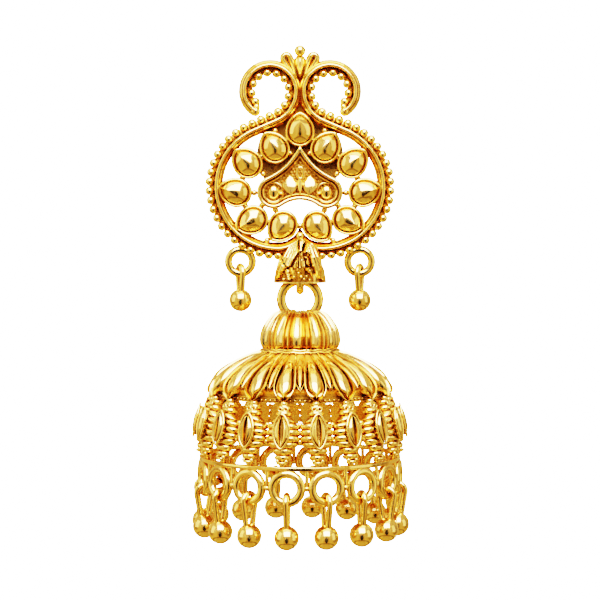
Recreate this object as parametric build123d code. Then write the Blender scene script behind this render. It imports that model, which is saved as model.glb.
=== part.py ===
"""A jhumka earring: a pierced stud plate, its ear post, a hanging bell and eighteen ball drops.

Millimetres. The origin is where the ear post leaves its pad, on the face that meets the ear lobe.
+Z is up, -Y is the side that shows when the earring is worn, and +Y runs along the post, into the lobe.

The stud is drawn face on, in its own plane: u to the right, v up from the plate's widest line, and
d forward from the plate's back face. The bell is drawn about its own axis, with heights in v too.
"""

from build123d import *
from math import acos, asin, atan2, cos, degrees, hypot, pi, radians, sin, sqrt
import os

# ---- the frame ----------------------------------------------------------------------------------
POST_ABOVE_WIDEST = 3.6  # the post's height over the plate's widest line
PAD_THICKNESS = 0.5  # the disc between the plate's back and the lobe
BELL_DEPTH = 1.3  # the plane of the bell's axis, forward of the plate's back
BELL_PLACE = Pos(0, -(PAD_THICKNESS + BELL_DEPTH), -POST_ABOVE_WIDEST)
STUD_PLANE = Plane(origin=(0, -PAD_THICKNESS, -POST_ABOVE_WIDEST), x_dir=(1, 0, 0), z_dir=(0, -1, 0))

# ---- the ear post -------------------------------------------------------------------------------
PAD_RADIUS = 5.4
PAD_RISE = 0.5  # how far the pad's middle stands above the post
POST_RADIUS = 0.45
POST_LENGTH = 10.0
POST_CHAMFER = 0.2

# ---- the stud's rim: two scrolls, a neck, a round body and a cusp below ------------------------
SCROLL_U, SCROLL_V, SCROLL_RADIUS = -3.7, 12.0, 3.36
CURL_RADIUS = 2.95  # the tighter turn that ends in the scroll's tip
SCROLL_TIP_ANGLE = 240
NECK_RADIUS = 4.1
BODY_U, BODY_V, BODY_RADIUS = -2.75, 0.1, 7.5
CUSP_RADIUS = 3.4
RIM_HALF_WIDTH = 0.42
RIM_HEIGHT = 1.75  # the band's height, where the round wire on it is centred
RIM_WIRE_RADIUS = 0.48
TIP_RADIUS = 0.62  # the ball at each scroll's end
LEDGE_REACH = 1.12  # how far the ledge under the beads reaches out from the rim's line
LEDGE_HEIGHT = 1.0
BEAD_RADIUS = 0.53
BEAD_OFFSET = 1.02
BEAD_PITCH = 1.27
BEAD_HEIGHT = 1.15
BEADS_END_AT_U = -2.7  # the beads stop here, where the leaf cap begins

# ---- the eleven drop-shaped cells --------------------------------------------------------------
CELL_RADIUS = 1.8
CELL_LENGTH = 2.5  # from the middle of the round end to the tip
CELL_HEIGHT = 2.0
CELL_WALL = 0.36
CELL_FLOOR = 1.0
KERNEL_GAP = 0.1
KERNEL_SUNK = 0.3  # how far the kernel's middle line lies under the cell's floor
DROP_SHOULDER = 28  # where a solid drop's round end turns into its straight sides
# one row for each cell on the right: u and v of the round end's middle, and the tip's direction
CELLS = [
    (0.0, 6.95, 90),
    (3.08, 4.82, 57),
    (6.45, 2.95, 46),
    (7.85, -0.6, 16),
    (5.8, -3.95, -29),
    (2.08, -4.6, -52),
]
GRAIN_RADIUS = 0.42
GRAIN_HEIGHT = 1.3
# u and v of each grain that joins two neighbours on the right
GRAINS = [
    (1.55, 5.9),
    (4.77, 3.9),
    (7.16, 1.18),
    (6.83, -2.28),
    (3.94, -4.28),
    (0.0, -4.75),
    (1.25, 4.3),
    (4.6, 1.75),
    (5.7, -0.62),
    (4.75, -2.2),
    (3.05, -2.75),
    (7.4, -4.9),
    (4.1, -6.55),
    (3.1, 7.1),
]

# ---- the kidney frame in the middle of the plate -----------------------------------------------
LOBE_U, LOBE_V, LOBE_RADIUS = 3.3, -0.55, 1.75
SADDLE_RADIUS = 3.9
OGEE_RADIUS = 9.0
APEX_V = 4.75
FRAME_HALF_WIDTH = 0.3
FRAME_HEIGHT = 2.1
FRAME_FLOOR = 0.8
BOSS_RADIUS = 0.82
BOSS_RING_RADIUS = 1.12
SPRAY_ROOT_V = -0.85
# the spray's petals on the right: how far their roots stand apart, lean in degrees, length, half width
SPRAY = [(0.0, 0, 3.0, 0.5), (0.38, 34, 2.3, 0.6), (0.62, 62, 1.9, 0.4)]

BLUNT = 0.16  # share of a petal's half width that is left flat at its ends

# ---- the crest between the scrolls --------------------------------------------------------------
CREST_ROOT_V = 13.2
CREST_BEAD_V, CREST_BEAD_RADIUS = 17.0, 0.72
CREST_LOBE_U, CREST_LOBE_V, CREST_LOBE_RADIUS = 1.7, 16.15, 0.82
CREST_MIDDLE_V, CREST_MIDDLE_RADIUS = 15.75, 0.7
CREST_SPREAD = 0.2  # how far the outer lobes' roots stand from the middle line
CREST_HEIGHT = 1.1

# ---- the leaf cap, the hook inside it and the two side loops -----------------------------------
CAP_TOP_RADIUS, CAP_TOP_V = 0.7, -6.45
CAP_SHOULDER_RADIUS, CAP_SHOULDER_V = 2.3, -8.6
CAP_MOUTH_RADIUS, CAP_BOTTOM_V = 3.3, -11.8
CAP_WALL = 0.5
CAP_ROOF_RADIUS, CAP_ROOF_V = 2.1, -10.4
HOOK_WIRE_RADIUS = 0.45
HOOK_CLEARANCE = 0.13
SIDE_LOOP_U, SIDE_LOOP_V = 7.45, -9.2
SIDE_LOOP_RADIUS, SIDE_LOOP_WIRE = 1.5, 0.48
SIDE_LOOP_BEHIND = 0.5  # how far the side loops sit behind the bell's plane

# ---- the bell -----------------------------------------------------------------------------------
FRONT = -90  # the direction that faces forward, in degrees round the bell
HANG_RING_RADIUS, HANG_RING_WIRE = 2.35, 0.6
HANG_RING_V = -13.9
CROWN_DIMPLE_V = -15.75
CROWN_TOP_RADIUS, CROWN_TOP_V = 2.3, -15.4
CROWN_SHOULDER_RADIUS, CROWN_SHOULDER_V = 3.95, -16.75
CROWN_RADIUS, CROWN_WIDEST_V = 4.8, -18.9
CROWN_FOOT_RADIUS, CROWN_FOOT_V = 4.4, -19.95
CROWN_RIBS = 15
CROWN_TURN = 7  # the front rib stands this far round from the front, in degrees
CROWN_RIB_RADIUS = 0.27
DOME_EDGE_RADIUS, DOME_EDGE_V = 10.6, -24.6
DOME_ARCH = 0.45  # how far the dome's side stands out over a straight cone
COLLAR_RADIUS, COLLAR_BOTTOM_V = 10.35, -25.95
SHELL_WALL = 0.8
PETALS = 18
PETAL_TURN = 10  # the front petal and spindle stand this far round from the front, in degrees
PETAL_TOP_RADIUS, PETAL_TOP_V = 4.75, -20.6
PETAL_TIP_RADIUS, PETAL_TIP_V = 11.15, -25.35
PETAL_HALF_WIDTH = 1.58
PETAL_WIDEST_AT = 0.66  # share of the petal's length from its top
PEG_RADIUS = 0.55
SPINDLE_TOP_RADIUS, SPINDLE_TOP_V = 10.5, -26.0
SPINDLE_FOOT_RADIUS, SPINDLE_FOOT_V = 12.0, -32.8
SPINDLE_HALF_WIDTH = 1.88
SPINDLE_END_HALF_WIDTH = 1.0
SPINDLE_RIBS = 9
SPINDLE_RIB_DEPTH = 0.24
BRIDGE_RADIUS = 0.4
BOAT_LENGTH, BOAT_HALF_WIDTH = 4.1, 0.75
BOAT_SEAT = 1.55  # how far the boat's middle line stands before the spindle's
FOOT_BEAD_RADIUS = 0.5
RIM_LINE_RADIUS, RIM_LINE_V = 12.2, -33.6
RIM_LINE_WIDTH, RIM_LINE_HEIGHT = 0.8, 0.52
LOOPS = 16
LOOP_CIRCLE_RADIUS = 12.25
LOOP_RADIUS, LOOP_WIRE = 1.78, 0.47
LOOP_V = -35.95
LOOP_TURN = -7.5  # the front loop stands this far round from the front, in degrees
STRUT_RADIUS = 0.26
NUB_RADIUS = 0.4

# ---- the ball drops -----------------------------------------------------------------------------
BALL_RADIUS = 1.5
SIDE_BALL_RADIUS = 1.42
LINK_WIRE = 0.29
LINK_ARCH = 0.88  # the link's round top, on its centre line
LINK_FOOT = 0.4  # half the spread of its legs at the ball
LINK_SLACK = 0.04  # how far it hangs below the middle of the wire that it holds
BELL_DROP_LENGTH = 4.15  # from the middle of the round top to the middle of the ball
SIDE_DROP_LENGTH = 3.3
SIDE_TURN = 12
TURN_STEP, TURN_SPREAD = 137.5, 16  # the drops' turn about their own length, a fixed uneven row


def circle_through(first, first_reach, second, second_reach, upper_left):
    """The point at one distance from each of two points, on the side that upper_left names."""
    du, dv = second[0] - first[0], second[1] - first[1]
    gap = hypot(du, dv)
    along = (first_reach**2 - second_reach**2 + gap**2) / (2 * gap)
    across = sqrt(first_reach**2 - along**2) * (1 if upper_left else -1)
    return (
        first[0] + (along * du - across * dv) / gap,
        first[1] + (along * dv + across * du) / gap,
    )


def polar(centre, reach, angle):
    """The point that far from a centre, at an angle in degrees."""
    return (centre[0] + reach * cos(radians(angle)), centre[1] + reach * sin(radians(angle)))


# ---- the rim ------------------------------------------------------------------------------------
def rim_line(offset):
    """The left half of the rim's line, from the scroll's tip to the cusp, moved out by offset."""
    scroll = (SCROLL_U, SCROLL_V)
    curl = (SCROLL_U - SCROLL_RADIUS + CURL_RADIUS, SCROLL_V)
    neck = (SCROLL_U + SCROLL_RADIUS - NECK_RADIUS, SCROLL_V)
    body = (BODY_U, BODY_V)
    cusp = (BODY_U, BODY_V - BODY_RADIUS + CUSP_RADIUS)
    run_u, run_v = body[0] - neck[0], body[1] - neck[1]
    leave = degrees(atan2(run_v, run_u) + acos((NECK_RADIUS + BODY_RADIUS) / hypot(run_u, run_v)))
    cusp_end = 360 - degrees(acos(-cusp[0] / (CUSP_RADIUS + offset)))
    return [
        CenterArc(curl, CURL_RADIUS - offset, SCROLL_TIP_ANGLE, 180 - SCROLL_TIP_ANGLE),
        CenterArc(scroll, SCROLL_RADIUS - offset, 180, -180),
        CenterArc(neck, NECK_RADIUS - offset, 0, leave),
        Line(polar(neck, NECK_RADIUS - offset, leave), polar(body, BODY_RADIUS + offset, leave + 180)),
        CenterArc(body, BODY_RADIUS + offset, leave + 180, 90 - leave),
        CenterArc(cusp, CUSP_RADIUS + offset, 270, cusp_end - 270),
    ]


def rim_band(inner, outer, height):
    """The left half of a band between two offsets of the rim's line."""
    near, far = rim_line(inner), rim_line(outer)
    ends = [Line(near[0] @ 0, far[0] @ 0), Line(near[-1] @ 1, far[-1] @ 1)]
    return extrude(make_face(Wire(near + far + ends)), height)


def bead_places():
    """Where the beads of the left half sit, evenly spaced along the row."""
    row = Wire(rim_line(BEAD_OFFSET))
    count = round(row.length / BEAD_PITCH)
    places = [row @ ((n + 0.5) / count) for n in range(count)]
    return [p for p in places if not (p.Y < BODY_V - CUSP_RADIUS and p.X > BEADS_END_AT_U)]


def rim_half():
    """The left half of the rim: the band, the round wire on it, the ledge and the row of beads."""
    line = Wire(rim_line(0))
    section = Plane(origin=line @ 0, z_dir=line % 0) * Circle(RIM_WIRE_RADIUS)
    wire = Pos(0, 0, RIM_HEIGHT) * sweep(section, path=line)
    tip = Pos((line @ 0).X, (line @ 0).Y, RIM_HEIGHT - 0.2) * Sphere(TIP_RADIUS)
    band = rim_band(-RIM_HALF_WIDTH, RIM_HALF_WIDTH, RIM_HEIGHT)
    ledge = rim_band(0.2, LEDGE_REACH, LEDGE_HEIGHT)
    beads = [Pos(p.X, p.Y, BEAD_HEIGHT) * Sphere(BEAD_RADIUS) for p in bead_places()]
    return [wire, tip, band, ledge, *beads]


# ---- cells, frame and crest ---------------------------------------------------------------------
def drop_outline(radius, length):
    """A drop: half a circle below, and two arcs that meet in a point at length above its middle."""
    side = (length**2 + radius**2) / (2 * radius)
    turn = degrees(asin(length / side))
    return make_face(
        Wire(
            [
                CenterArc((0, 0), radius, 180, 180),
                CenterArc((radius - side, 0), side, 0, turn),
                CenterArc((side - radius, 0), side, 180 - turn, turn),
            ]
        )
    )


def turned_drop(radius, length):
    """A solid drop: a ball at the origin, drawn out along Y to a small flat tip."""
    shoulder = polar((0, 0), radius, DROP_SHOULDER)
    side = [
        ThreePointArc((0, -radius), (radius, 0), shoulder),
        Line(shoulder, (BLUNT, length)),
        Line((BLUNT, length), (0, length)),
        Line((0, length), (0, -radius)),
    ]
    return revolve(make_face(Wire(side)), Axis.Y)


def cell():
    """One drop-shaped cell with a wall, a floor and a raised kernel."""
    outer = extrude(drop_outline(CELL_RADIUS, CELL_LENGTH), CELL_HEIGHT)
    well = drop_outline(CELL_RADIUS - CELL_WALL, CELL_LENGTH - 1.3 * CELL_WALL)
    body = outer - Pos(0, 0, CELL_FLOOR) * extrude(well, CELL_HEIGHT)
    kernel = turned_drop(CELL_RADIUS - CELL_WALL - KERNEL_GAP, CELL_LENGTH - 1.5 * (CELL_WALL + KERNEL_GAP))
    under = Box(10, 10, 10, align=(Align.CENTER, Align.CENTER, Align.MAX))
    return body + (Pos(0, 0, CELL_FLOOR - KERNEL_SUNK) * kernel - Pos(0, 0, CELL_FLOOR / 2) * under)


def both_sides(places):
    """Each right-hand place and its mirror, with the one on the middle line kept once."""
    return [(sign * u, *rest) for u, *rest in places for sign in ((1, -1) if u else (1,))]


def cells():
    """The eleven cells in their places, and the grains that join them."""
    one = cell()
    placed = []
    for u, v, tip in CELLS:
        right = Pos(u, v, 0) * Rot(0, 0, tip - 90) * one
        placed += [right, right.mirror(Plane.YZ)] if u else [right]
    grain = Cylinder(GRAIN_RADIUS, GRAIN_HEIGHT, align=(Align.CENTER, Align.CENTER, Align.MIN))
    cap = Pos(0, 0, GRAIN_HEIGHT) * Sphere(GRAIN_RADIUS)
    return placed + [Pos(u, v, 0) * (grain + cap) for u, v in both_sides(GRAINS)]


def kidney(offset):
    """The kidney frame's outline, grown by offset: two lobes, a saddle below and an ogee above."""
    lobe, apex = (LOBE_U, LOBE_V), (0, APEX_V)
    radius = LOBE_RADIUS + offset
    saddle = (0, LOBE_V - sqrt((LOBE_RADIUS + SADDLE_RADIUS) ** 2 - LOBE_U**2))
    ogee = circle_through(apex, OGEE_RADIUS, lobe, OGEE_RADIUS + LOBE_RADIUS, True)
    saddle_leave = degrees(atan2(saddle[1] - lobe[1], saddle[0] - lobe[0])) % 360
    ogee_leave = degrees(atan2(ogee[1] - lobe[1], ogee[0] - lobe[0]))
    ogee_reach = OGEE_RADIUS - offset
    apex_angle = 180 + degrees(acos(ogee[0] / ogee_reach))
    half = [
        CenterArc(saddle, SADDLE_RADIUS - offset, 90, saddle_leave - 180 - 90),
        CenterArc(lobe, radius, saddle_leave, ogee_leave + 360 - saddle_leave),
        CenterArc(ogee, ogee_reach, ogee_leave + 180, apex_angle - ogee_leave - 180),
    ]
    return make_face(Wire(half + [edge.mirror(Plane.YZ) for edge in half]))


def petal_solid(length, half_width):
    """A petal: a lens turned about its long axis, with small flat ends, from the origin along Y."""
    flat = BLUNT * half_width
    arc = ThreePointArc((flat, 0), (half_width, length / 2), (flat, length))
    ends = [Line((0, 0), (flat, 0)), Line((flat, length), (0, length)), Line((0, length), (0, 0))]
    return revolve(make_face(Wire([ends[0], arc, *ends[1:]])), Axis.Y)


def kidney_frame():
    """The frame in the plate's middle, its floor, two round bosses and the spray of petals."""
    wall = extrude(kidney(FRAME_HALF_WIDTH), FRAME_HEIGHT) - extrude(kidney(-FRAME_HALF_WIDTH), FRAME_HEIGHT)
    floor = extrude(kidney(0), FRAME_FLOOR)
    ring = Pos(0, 0, FRAME_FLOOR + 0.1) * Torus(BOSS_RING_RADIUS, 0.2)
    boss = Pos(0, 0, FRAME_FLOOR + 0.1) * Sphere(BOSS_RADIUS)
    bosses = [Pos(u, v, 0) * (ring + boss) for u, v in both_sides([(LOBE_U, LOBE_V)])]
    petals = [
        Pos(side * root, SPRAY_ROOT_V, FRAME_FLOOR + 0.1)
        * Rot(0, 0, -side * lean)
        * petal_solid(length, half_width)
        for root, lean, length, half_width in SPRAY
        for side in ((1, -1) if root else (1,))
    ]
    return [wall, floor, *bosses, *petals]


def crest():
    """The three lobes and the bead between the scrolls, and the web that joins the necks."""
    run_u, run_v = CREST_LOBE_U - CREST_SPREAD, CREST_LOBE_V - CREST_ROOT_V
    outer = turned_drop(CREST_LOBE_RADIUS, hypot(run_u, run_v))
    lean = degrees(atan2(run_u, run_v))
    lobes = [
        Pos(side * CREST_LOBE_U, CREST_LOBE_V, CREST_HEIGHT) * Rot(0, 0, 180 - side * lean) * outer
        for side in (1, -1)
    ]
    middle = turned_drop(CREST_MIDDLE_RADIUS, CREST_MIDDLE_V - CREST_ROOT_V)
    lobes.append(Pos(0, CREST_MIDDLE_V, CREST_HEIGHT) * Rot(0, 0, 180) * middle)
    bead = Pos(0, CREST_BEAD_V, CREST_HEIGHT) * Sphere(CREST_BEAD_RADIUS)
    web_half = -(SCROLL_U + SCROLL_RADIUS)
    web = Pos(0, (CREST_ROOT_V + CELLS[0][1]) / 2 + 0.6, 0) * Box(
        2 * web_half,
        CREST_ROOT_V - CELLS[0][1] - 0.6,
        LEDGE_HEIGHT,
        align=(Align.CENTER, Align.CENTER, Align.MIN),
    )
    return [*lobes, bead, web]


# ---- the leaf cap, hook and side loops ----------------------------------------------------------
def leaf_cap():
    """The bell-mouthed cap with three leaves on it, open below and behind, and the hook in it."""
    side = ThreePointArc(
        (CAP_TOP_RADIUS, CAP_TOP_V), (CAP_SHOULDER_RADIUS, CAP_SHOULDER_V), (CAP_MOUTH_RADIUS, CAP_BOTTOM_V)
    )
    outline = [
        Line((0, CAP_TOP_V), (CAP_TOP_RADIUS, CAP_TOP_V)),
        side,
        Line((CAP_MOUTH_RADIUS, CAP_BOTTOM_V), (0, CAP_BOTTOM_V)),
        Line((0, CAP_BOTTOM_V), (0, CAP_TOP_V)),
    ]
    shell = revolve(make_face(Wire(outline)), Axis.Y)
    low = CAP_BOTTOM_V - 1
    room = [
        Line((0, CAP_ROOF_V), (CAP_ROOF_RADIUS, CAP_ROOF_V)),
        Line((CAP_ROOF_RADIUS, CAP_ROOF_V), (CAP_MOUTH_RADIUS - CAP_WALL, CAP_BOTTOM_V)),
        Line((CAP_MOUTH_RADIUS - CAP_WALL, CAP_BOTTOM_V), (CAP_MOUTH_RADIUS - CAP_WALL, low)),
        Line((CAP_MOUTH_RADIUS - CAP_WALL, low), (0, low)),
        Line((0, low), (0, CAP_ROOF_V)),
    ]
    hollow = revolve(make_face(Wire(room)), Axis.Y)
    slope = degrees(atan2(CAP_MOUTH_RADIUS - CAP_TOP_RADIUS, CAP_TOP_V - CAP_BOTTOM_V))
    leaf = Pos(0, CAP_TOP_V - 0.3, CAP_TOP_RADIUS) * Rot(180 - slope, 0, 0) * petal_solid(4.9, 1.15)
    leaves = [Rot(0, turn, 0) * leaf for turn in (0, 58, -58)]
    cap = fused([shell, *leaves]) - hollow
    behind = Box(20, 40, 10, align=(Align.CENTER, Align.CENTER, Align.MAX))
    cap = Pos(0, 0, BELL_DEPTH) * cap - behind
    reach = HANG_RING_WIRE + HOOK_CLEARANCE + HOOK_WIRE_RADIUS
    hook = Pos(0, HANG_RING_V + HANG_RING_RADIUS, BELL_DEPTH) * Rot(0, 90, 0) * Torus(reach, HOOK_WIRE_RADIUS)
    return [cap, hook]


def side_loops():
    """The two loops below the rim that carry the side drops."""
    loop = Torus(SIDE_LOOP_RADIUS, SIDE_LOOP_WIRE)
    return [Pos(u, v, BELL_DEPTH - SIDE_LOOP_BEHIND) * loop for u, v in both_sides([(SIDE_LOOP_U, SIDE_LOOP_V)])]


def fused(solids):
    """All of these as one solid."""
    first, *rest = [solid for piece in solids for solid in piece.solids()]
    return first.fuse(*rest)


def stud_plate():
    """The whole cast and soldered stud, in the row's frame."""
    left = rim_half()
    right = [piece.mirror(Plane.YZ) for piece in left]
    cusp_v = BODY_V - BODY_RADIUS + CUSP_RADIUS - sqrt(CUSP_RADIUS**2 - BODY_U**2)
    cusp_bead = Pos(0, cusp_v, RIM_HEIGHT) * Sphere(BEAD_RADIUS)
    whole = fused(
        [*left, *right, cusp_bead, *cells(), *kidney_frame(), *crest(), *leaf_cap(), *side_loops()]
    )
    return STUD_PLANE.location * whole


def ear_post():
    """The plain pad behind the plate, and the post that goes through the lobe."""
    pad = Pos(0, -PAD_THICKNESS / 2, PAD_RISE) * Rot(90, 0, 0) * Cylinder(PAD_RADIUS, PAD_THICKNESS)
    post = Rot(-90, 0, 0) * Cylinder(
        POST_RADIUS, POST_LENGTH, align=(Align.CENTER, Align.CENTER, Align.MIN)
    )
    tip = post.edges().sort_by(Axis.Y)[-1]
    return pad + chamfer(tip, POST_CHAMFER)


# ---- the bell: every piece stands about the Z axis, with z as v ---------------------------------
def around(piece, count, start=0.0):
    """Copies of a piece turned evenly about the bell's axis."""
    return [Rot(0, 0, start + 360 * n / count) * piece for n in range(count)]


def turned(lines):
    """A profile of radius and v, turned about the bell's axis."""
    return revolve(Plane.XZ.location * make_face(Wire(lines)), Axis.Z)


def dome_arch(depth):
    """The middle of the dome's curved side, that far below its outer face."""
    run = DOME_EDGE_RADIUS - CROWN_FOOT_RADIUS
    fall = DOME_EDGE_V - CROWN_FOOT_V
    out = (DOME_ARCH - depth) / hypot(run, fall)
    return (
        (CROWN_FOOT_RADIUS + DOME_EDGE_RADIUS) / 2 - out * fall,
        (CROWN_FOOT_V + DOME_EDGE_V) / 2 + out * run,
    )


def bell_shell():
    """The crown, the dome and its collar as one turned solid, before it is hollowed."""
    top = (CROWN_TOP_RADIUS, CROWN_TOP_V)
    shoulder = (CROWN_SHOULDER_RADIUS, CROWN_SHOULDER_V)
    widest = (CROWN_RADIUS, CROWN_WIDEST_V)
    foot = (CROWN_FOOT_RADIUS, CROWN_FOOT_V)
    edge = (DOME_EDGE_RADIUS, DOME_EDGE_V)
    return turned(
        [
            Line((0, CROWN_DIMPLE_V), top),
            ThreePointArc(top, shoulder, widest),
            Line(widest, foot),
            ThreePointArc(foot, dome_arch(0), edge),
            Line(edge, (COLLAR_RADIUS, DOME_EDGE_V - 0.25)),
            Line((COLLAR_RADIUS, DOME_EDGE_V - 0.25), (COLLAR_RADIUS, COLLAR_BOTTOM_V)),
            Line((COLLAR_RADIUS, COLLAR_BOTTOM_V), (0, COLLAR_BOTTOM_V)),
            Line((0, COLLAR_BOTTOM_V), (0, CROWN_DIMPLE_V)),
        ]
    )


def bell_hollow():
    """The room inside the crown and the dome."""
    roof = CROWN_WIDEST_V + 0.7
    neck = (CROWN_FOOT_RADIUS - SHELL_WALL, CROWN_FOOT_V - 0.35)
    inner_edge = (COLLAR_RADIUS - SHELL_WALL, DOME_EDGE_V - 0.45)
    low = COLLAR_BOTTOM_V - 1
    return turned(
        [
            Line((0, roof), (CROWN_RADIUS - 1.7 * SHELL_WALL, roof)),
            Line((CROWN_RADIUS - 1.7 * SHELL_WALL, roof), neck),
            ThreePointArc(neck, dome_arch(1.25 * SHELL_WALL), inner_edge),
            Line(inner_edge, (inner_edge[0], low)),
            Line((inner_edge[0], low), (0, low)),
            Line((0, low), (0, roof)),
        ]
    )


def crown_rib():
    """One raised rib down the crown's side, in the XZ plane."""
    arc = ThreePointArc(
        (CROWN_TOP_RADIUS - 0.25, 0, CROWN_TOP_V - 0.1),
        (CROWN_SHOULDER_RADIUS + 0.08, 0, CROWN_SHOULDER_V),
        (CROWN_RADIUS - 0.04, 0, CROWN_WIDEST_V - 0.35),
    )
    return sweep(Plane(origin=arc @ 0, z_dir=arc % 0) * Circle(CROWN_RIB_RADIUS), path=arc)


def along(start_radius, start_v, end_radius, end_v):
    """The place whose Y axis runs from one point of the bell's XZ plane to another."""
    lean = degrees(atan2(end_radius - start_radius, end_v - start_v))
    return Pos(start_radius, 0, start_v) * Rot(0, lean, 0) * Rot(90, 0, 0)


def dome_petal():
    """One petal of the dome, fullest near its tip, turned about the line from its top to its tip."""
    length = hypot(PETAL_TIP_RADIUS - PETAL_TOP_RADIUS, PETAL_TIP_V - PETAL_TOP_V)
    widest = length * PETAL_WIDEST_AT
    tip, half = length - widest, PETAL_HALF_WIDTH
    outline = [
        Line((0, 0), (0.3, 0)),
        ThreePointArc((0.3, 0), (half * 0.66, widest * 0.45), (half, widest)),
        ThreePointArc((half, widest), (half * 0.76, widest + tip * 0.62), (0.3, length)),
        Line((0.3, length), (0, length)),
        Line((0, length), (0, 0)),
    ]
    solid = revolve(make_face(Wire(outline)), Axis.Y)
    return along(PETAL_TOP_RADIUS, PETAL_TOP_V, PETAL_TIP_RADIUS, PETAL_TIP_V) * solid


def spindle():
    """One ribbed spindle of the gallery, flat behind and round in front, with the boat it carries."""
    length = hypot(SPINDLE_FOOT_RADIUS - SPINDLE_TOP_RADIUS, SPINDLE_FOOT_V - SPINDLE_TOP_V)
    rib = length / SPINDLE_RIBS
    end, middle = SPINDLE_END_HALF_WIDTH, SPINDLE_HALF_WIDTH

    def reach(y):
        return end + (middle - end) * (1 - (2 * y / length - 1) ** 2)

    ribs = []
    for n in range(SPINDLE_RIBS):
        low, high = n * rib, (n + 1) * rib
        crest = (reach((low + high) / 2), (low + high) / 2)
        ribs.append(
            ThreePointArc(
                (reach(low) - SPINDLE_RIB_DEPTH, low), crest, (reach(high) - SPINDLE_RIB_DEPTH, high)
            )
        )
    first, last = ribs[0] @ 0, ribs[-1] @ 1
    outline = [
        Line((0, 0), (first.X, first.Y)),
        *ribs,
        Line((last.X, last.Y), (0, length)),
        Line((0, length), (0, 0)),
    ]
    half = Rot(0, 90, 0) * revolve(make_face(Wire(outline)), Axis.Y, revolution_arc=180)
    boat = Pos(-BOAT_SEAT, (length - BOAT_LENGTH) / 2, 0) * petal_solid(BOAT_LENGTH, BOAT_HALF_WIDTH)
    place = along(SPINDLE_TOP_RADIUS, SPINDLE_TOP_V, SPINDLE_FOOT_RADIUS, SPINDLE_FOOT_V)
    return place, half, boat


def bell_pieces():
    """The bell's pieces by name, each still apart."""
    place, half, boat = spindle()
    peg = Pos(SPINDLE_TOP_RADIUS - 0.15, 0, SPINDLE_TOP_V) * Sphere(PEG_RADIUS)
    foot_bead = Pos(SPINDLE_FOOT_RADIUS + 0.1, 0, SPINDLE_FOOT_V - 0.3) * Sphere(FOOT_BEAD_RADIUS)
    middle_v = (SPINDLE_TOP_V + SPINDLE_FOOT_V) / 2
    middle_radius = (SPINDLE_TOP_RADIUS + SPINDLE_FOOT_RADIUS) / 2
    bridge = Pos(middle_radius + 0.35, 0, middle_v) * Sphere(BRIDGE_RADIUS)
    rim = Cylinder(RIM_LINE_RADIUS + RIM_LINE_WIDTH / 2, RIM_LINE_HEIGHT)
    rim -= Cylinder(RIM_LINE_RADIUS - RIM_LINE_WIDTH / 2, 2 * RIM_LINE_HEIGHT)
    loop = Pos(LOOP_CIRCLE_RADIUS, 0, LOOP_V) * Rot(0, 90, 0) * Torus(LOOP_RADIUS, LOOP_WIRE)
    between = LOOP_CIRCLE_RADIUS + 0.1
    strut_height = RIM_LINE_V - LOOP_V
    strut = Pos(between, 0, LOOP_V + strut_height / 2) * Cylinder(STRUT_RADIUS, strut_height)
    nub = Pos(between, 0, LOOP_V) * Sphere(NUB_RADIUS)
    return {
        "ring": Pos(0, 0, HANG_RING_V) * Rot(90, 0, 0) * Torus(HANG_RING_RADIUS, HANG_RING_WIRE),
        "foot_ring": Pos(0, 0, CROWN_FOOT_V) * Torus(CROWN_FOOT_RADIUS + 0.05, 0.3),
        "petal": dome_petal(),
        "rib": crown_rib(),
        "spindle": place * half,
        "boat": place * boat,
        "peg": peg,
        "foot_bead": foot_bead,
        "bridge": bridge,
        "rim": Pos(0, 0, RIM_LINE_V) * rim,
        "loop": loop,
        "strut": strut,
        "nub": nub,
    }


def jhumka_bell():
    """The whole soldered bell, in the row's frame."""
    piece = bell_pieces()
    petal_turn, loop_turn = FRONT + PETAL_TURN, FRONT + LOOP_TURN
    petal_gap, loop_gap = petal_turn + 180 / PETALS, loop_turn + 180 / LOOPS
    dome = fused(
        [
            bell_shell(),
            *around(piece["petal"], PETALS, petal_turn),
            *around(piece["rib"], CROWN_RIBS, FRONT + CROWN_TURN),
            piece["foot_ring"],
            piece["ring"],
        ]
    )
    dome = dome - bell_hollow()
    post = fused([piece["spindle"], piece["boat"], piece["peg"], piece["foot_bead"]])
    whole = fused(
        [
            dome,
            *around(post, PETALS, petal_turn),
            *around(piece["bridge"], PETALS, petal_gap),
            piece["rim"],
            *around(piece["loop"], LOOPS, loop_turn),
            *around(piece["strut"], LOOPS, loop_gap),
            *around(piece["nub"], LOOPS, loop_gap),
        ]
    )
    return BELL_PLACE * whole


# ---- the ball drops: a wire link that holds a loop, and the ball it is soldered to -------------
def ball_drop(length, ball_radius):
    """One drop, hung with the middle of its link's round top at the origin, legs in the XZ plane."""
    foot_v = -length + 0.6 * ball_radius
    legs = Wire(
        [
            Line((-LINK_FOOT, 0, foot_v), (-LINK_ARCH, 0, 0)),
            ThreePointArc((-LINK_ARCH, 0, 0), (0, 0, LINK_ARCH), (LINK_ARCH, 0, 0)),
            Line((LINK_ARCH, 0, 0), (LINK_FOOT, 0, foot_v)),
        ]
    )
    section = Plane(origin=legs @ 0, z_dir=legs % 0) * Circle(LINK_WIRE)
    link = sweep(section, path=legs, transition=Transition.ROUND)
    return fused([Pos(0, 0, -length) * Sphere(ball_radius), link])


def bell_drops():
    """The sixteen drops under the bell, each turned a little about its own length."""
    drop = ball_drop(BELL_DROP_LENGTH, BALL_RADIUS)
    places = []
    for n in range(LOOPS):
        turn = TURN_SPREAD * sin(radians(TURN_STEP * n))
        seat = Pos(LOOP_CIRCLE_RADIUS, 0, LOOP_V - LOOP_RADIUS - LINK_SLACK) * Rot(0, 0, turn)
        places.append(BELL_PLACE * Rot(0, 0, FRONT + LOOP_TURN + 360 * n / LOOPS) * seat * drop)
    return places


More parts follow.
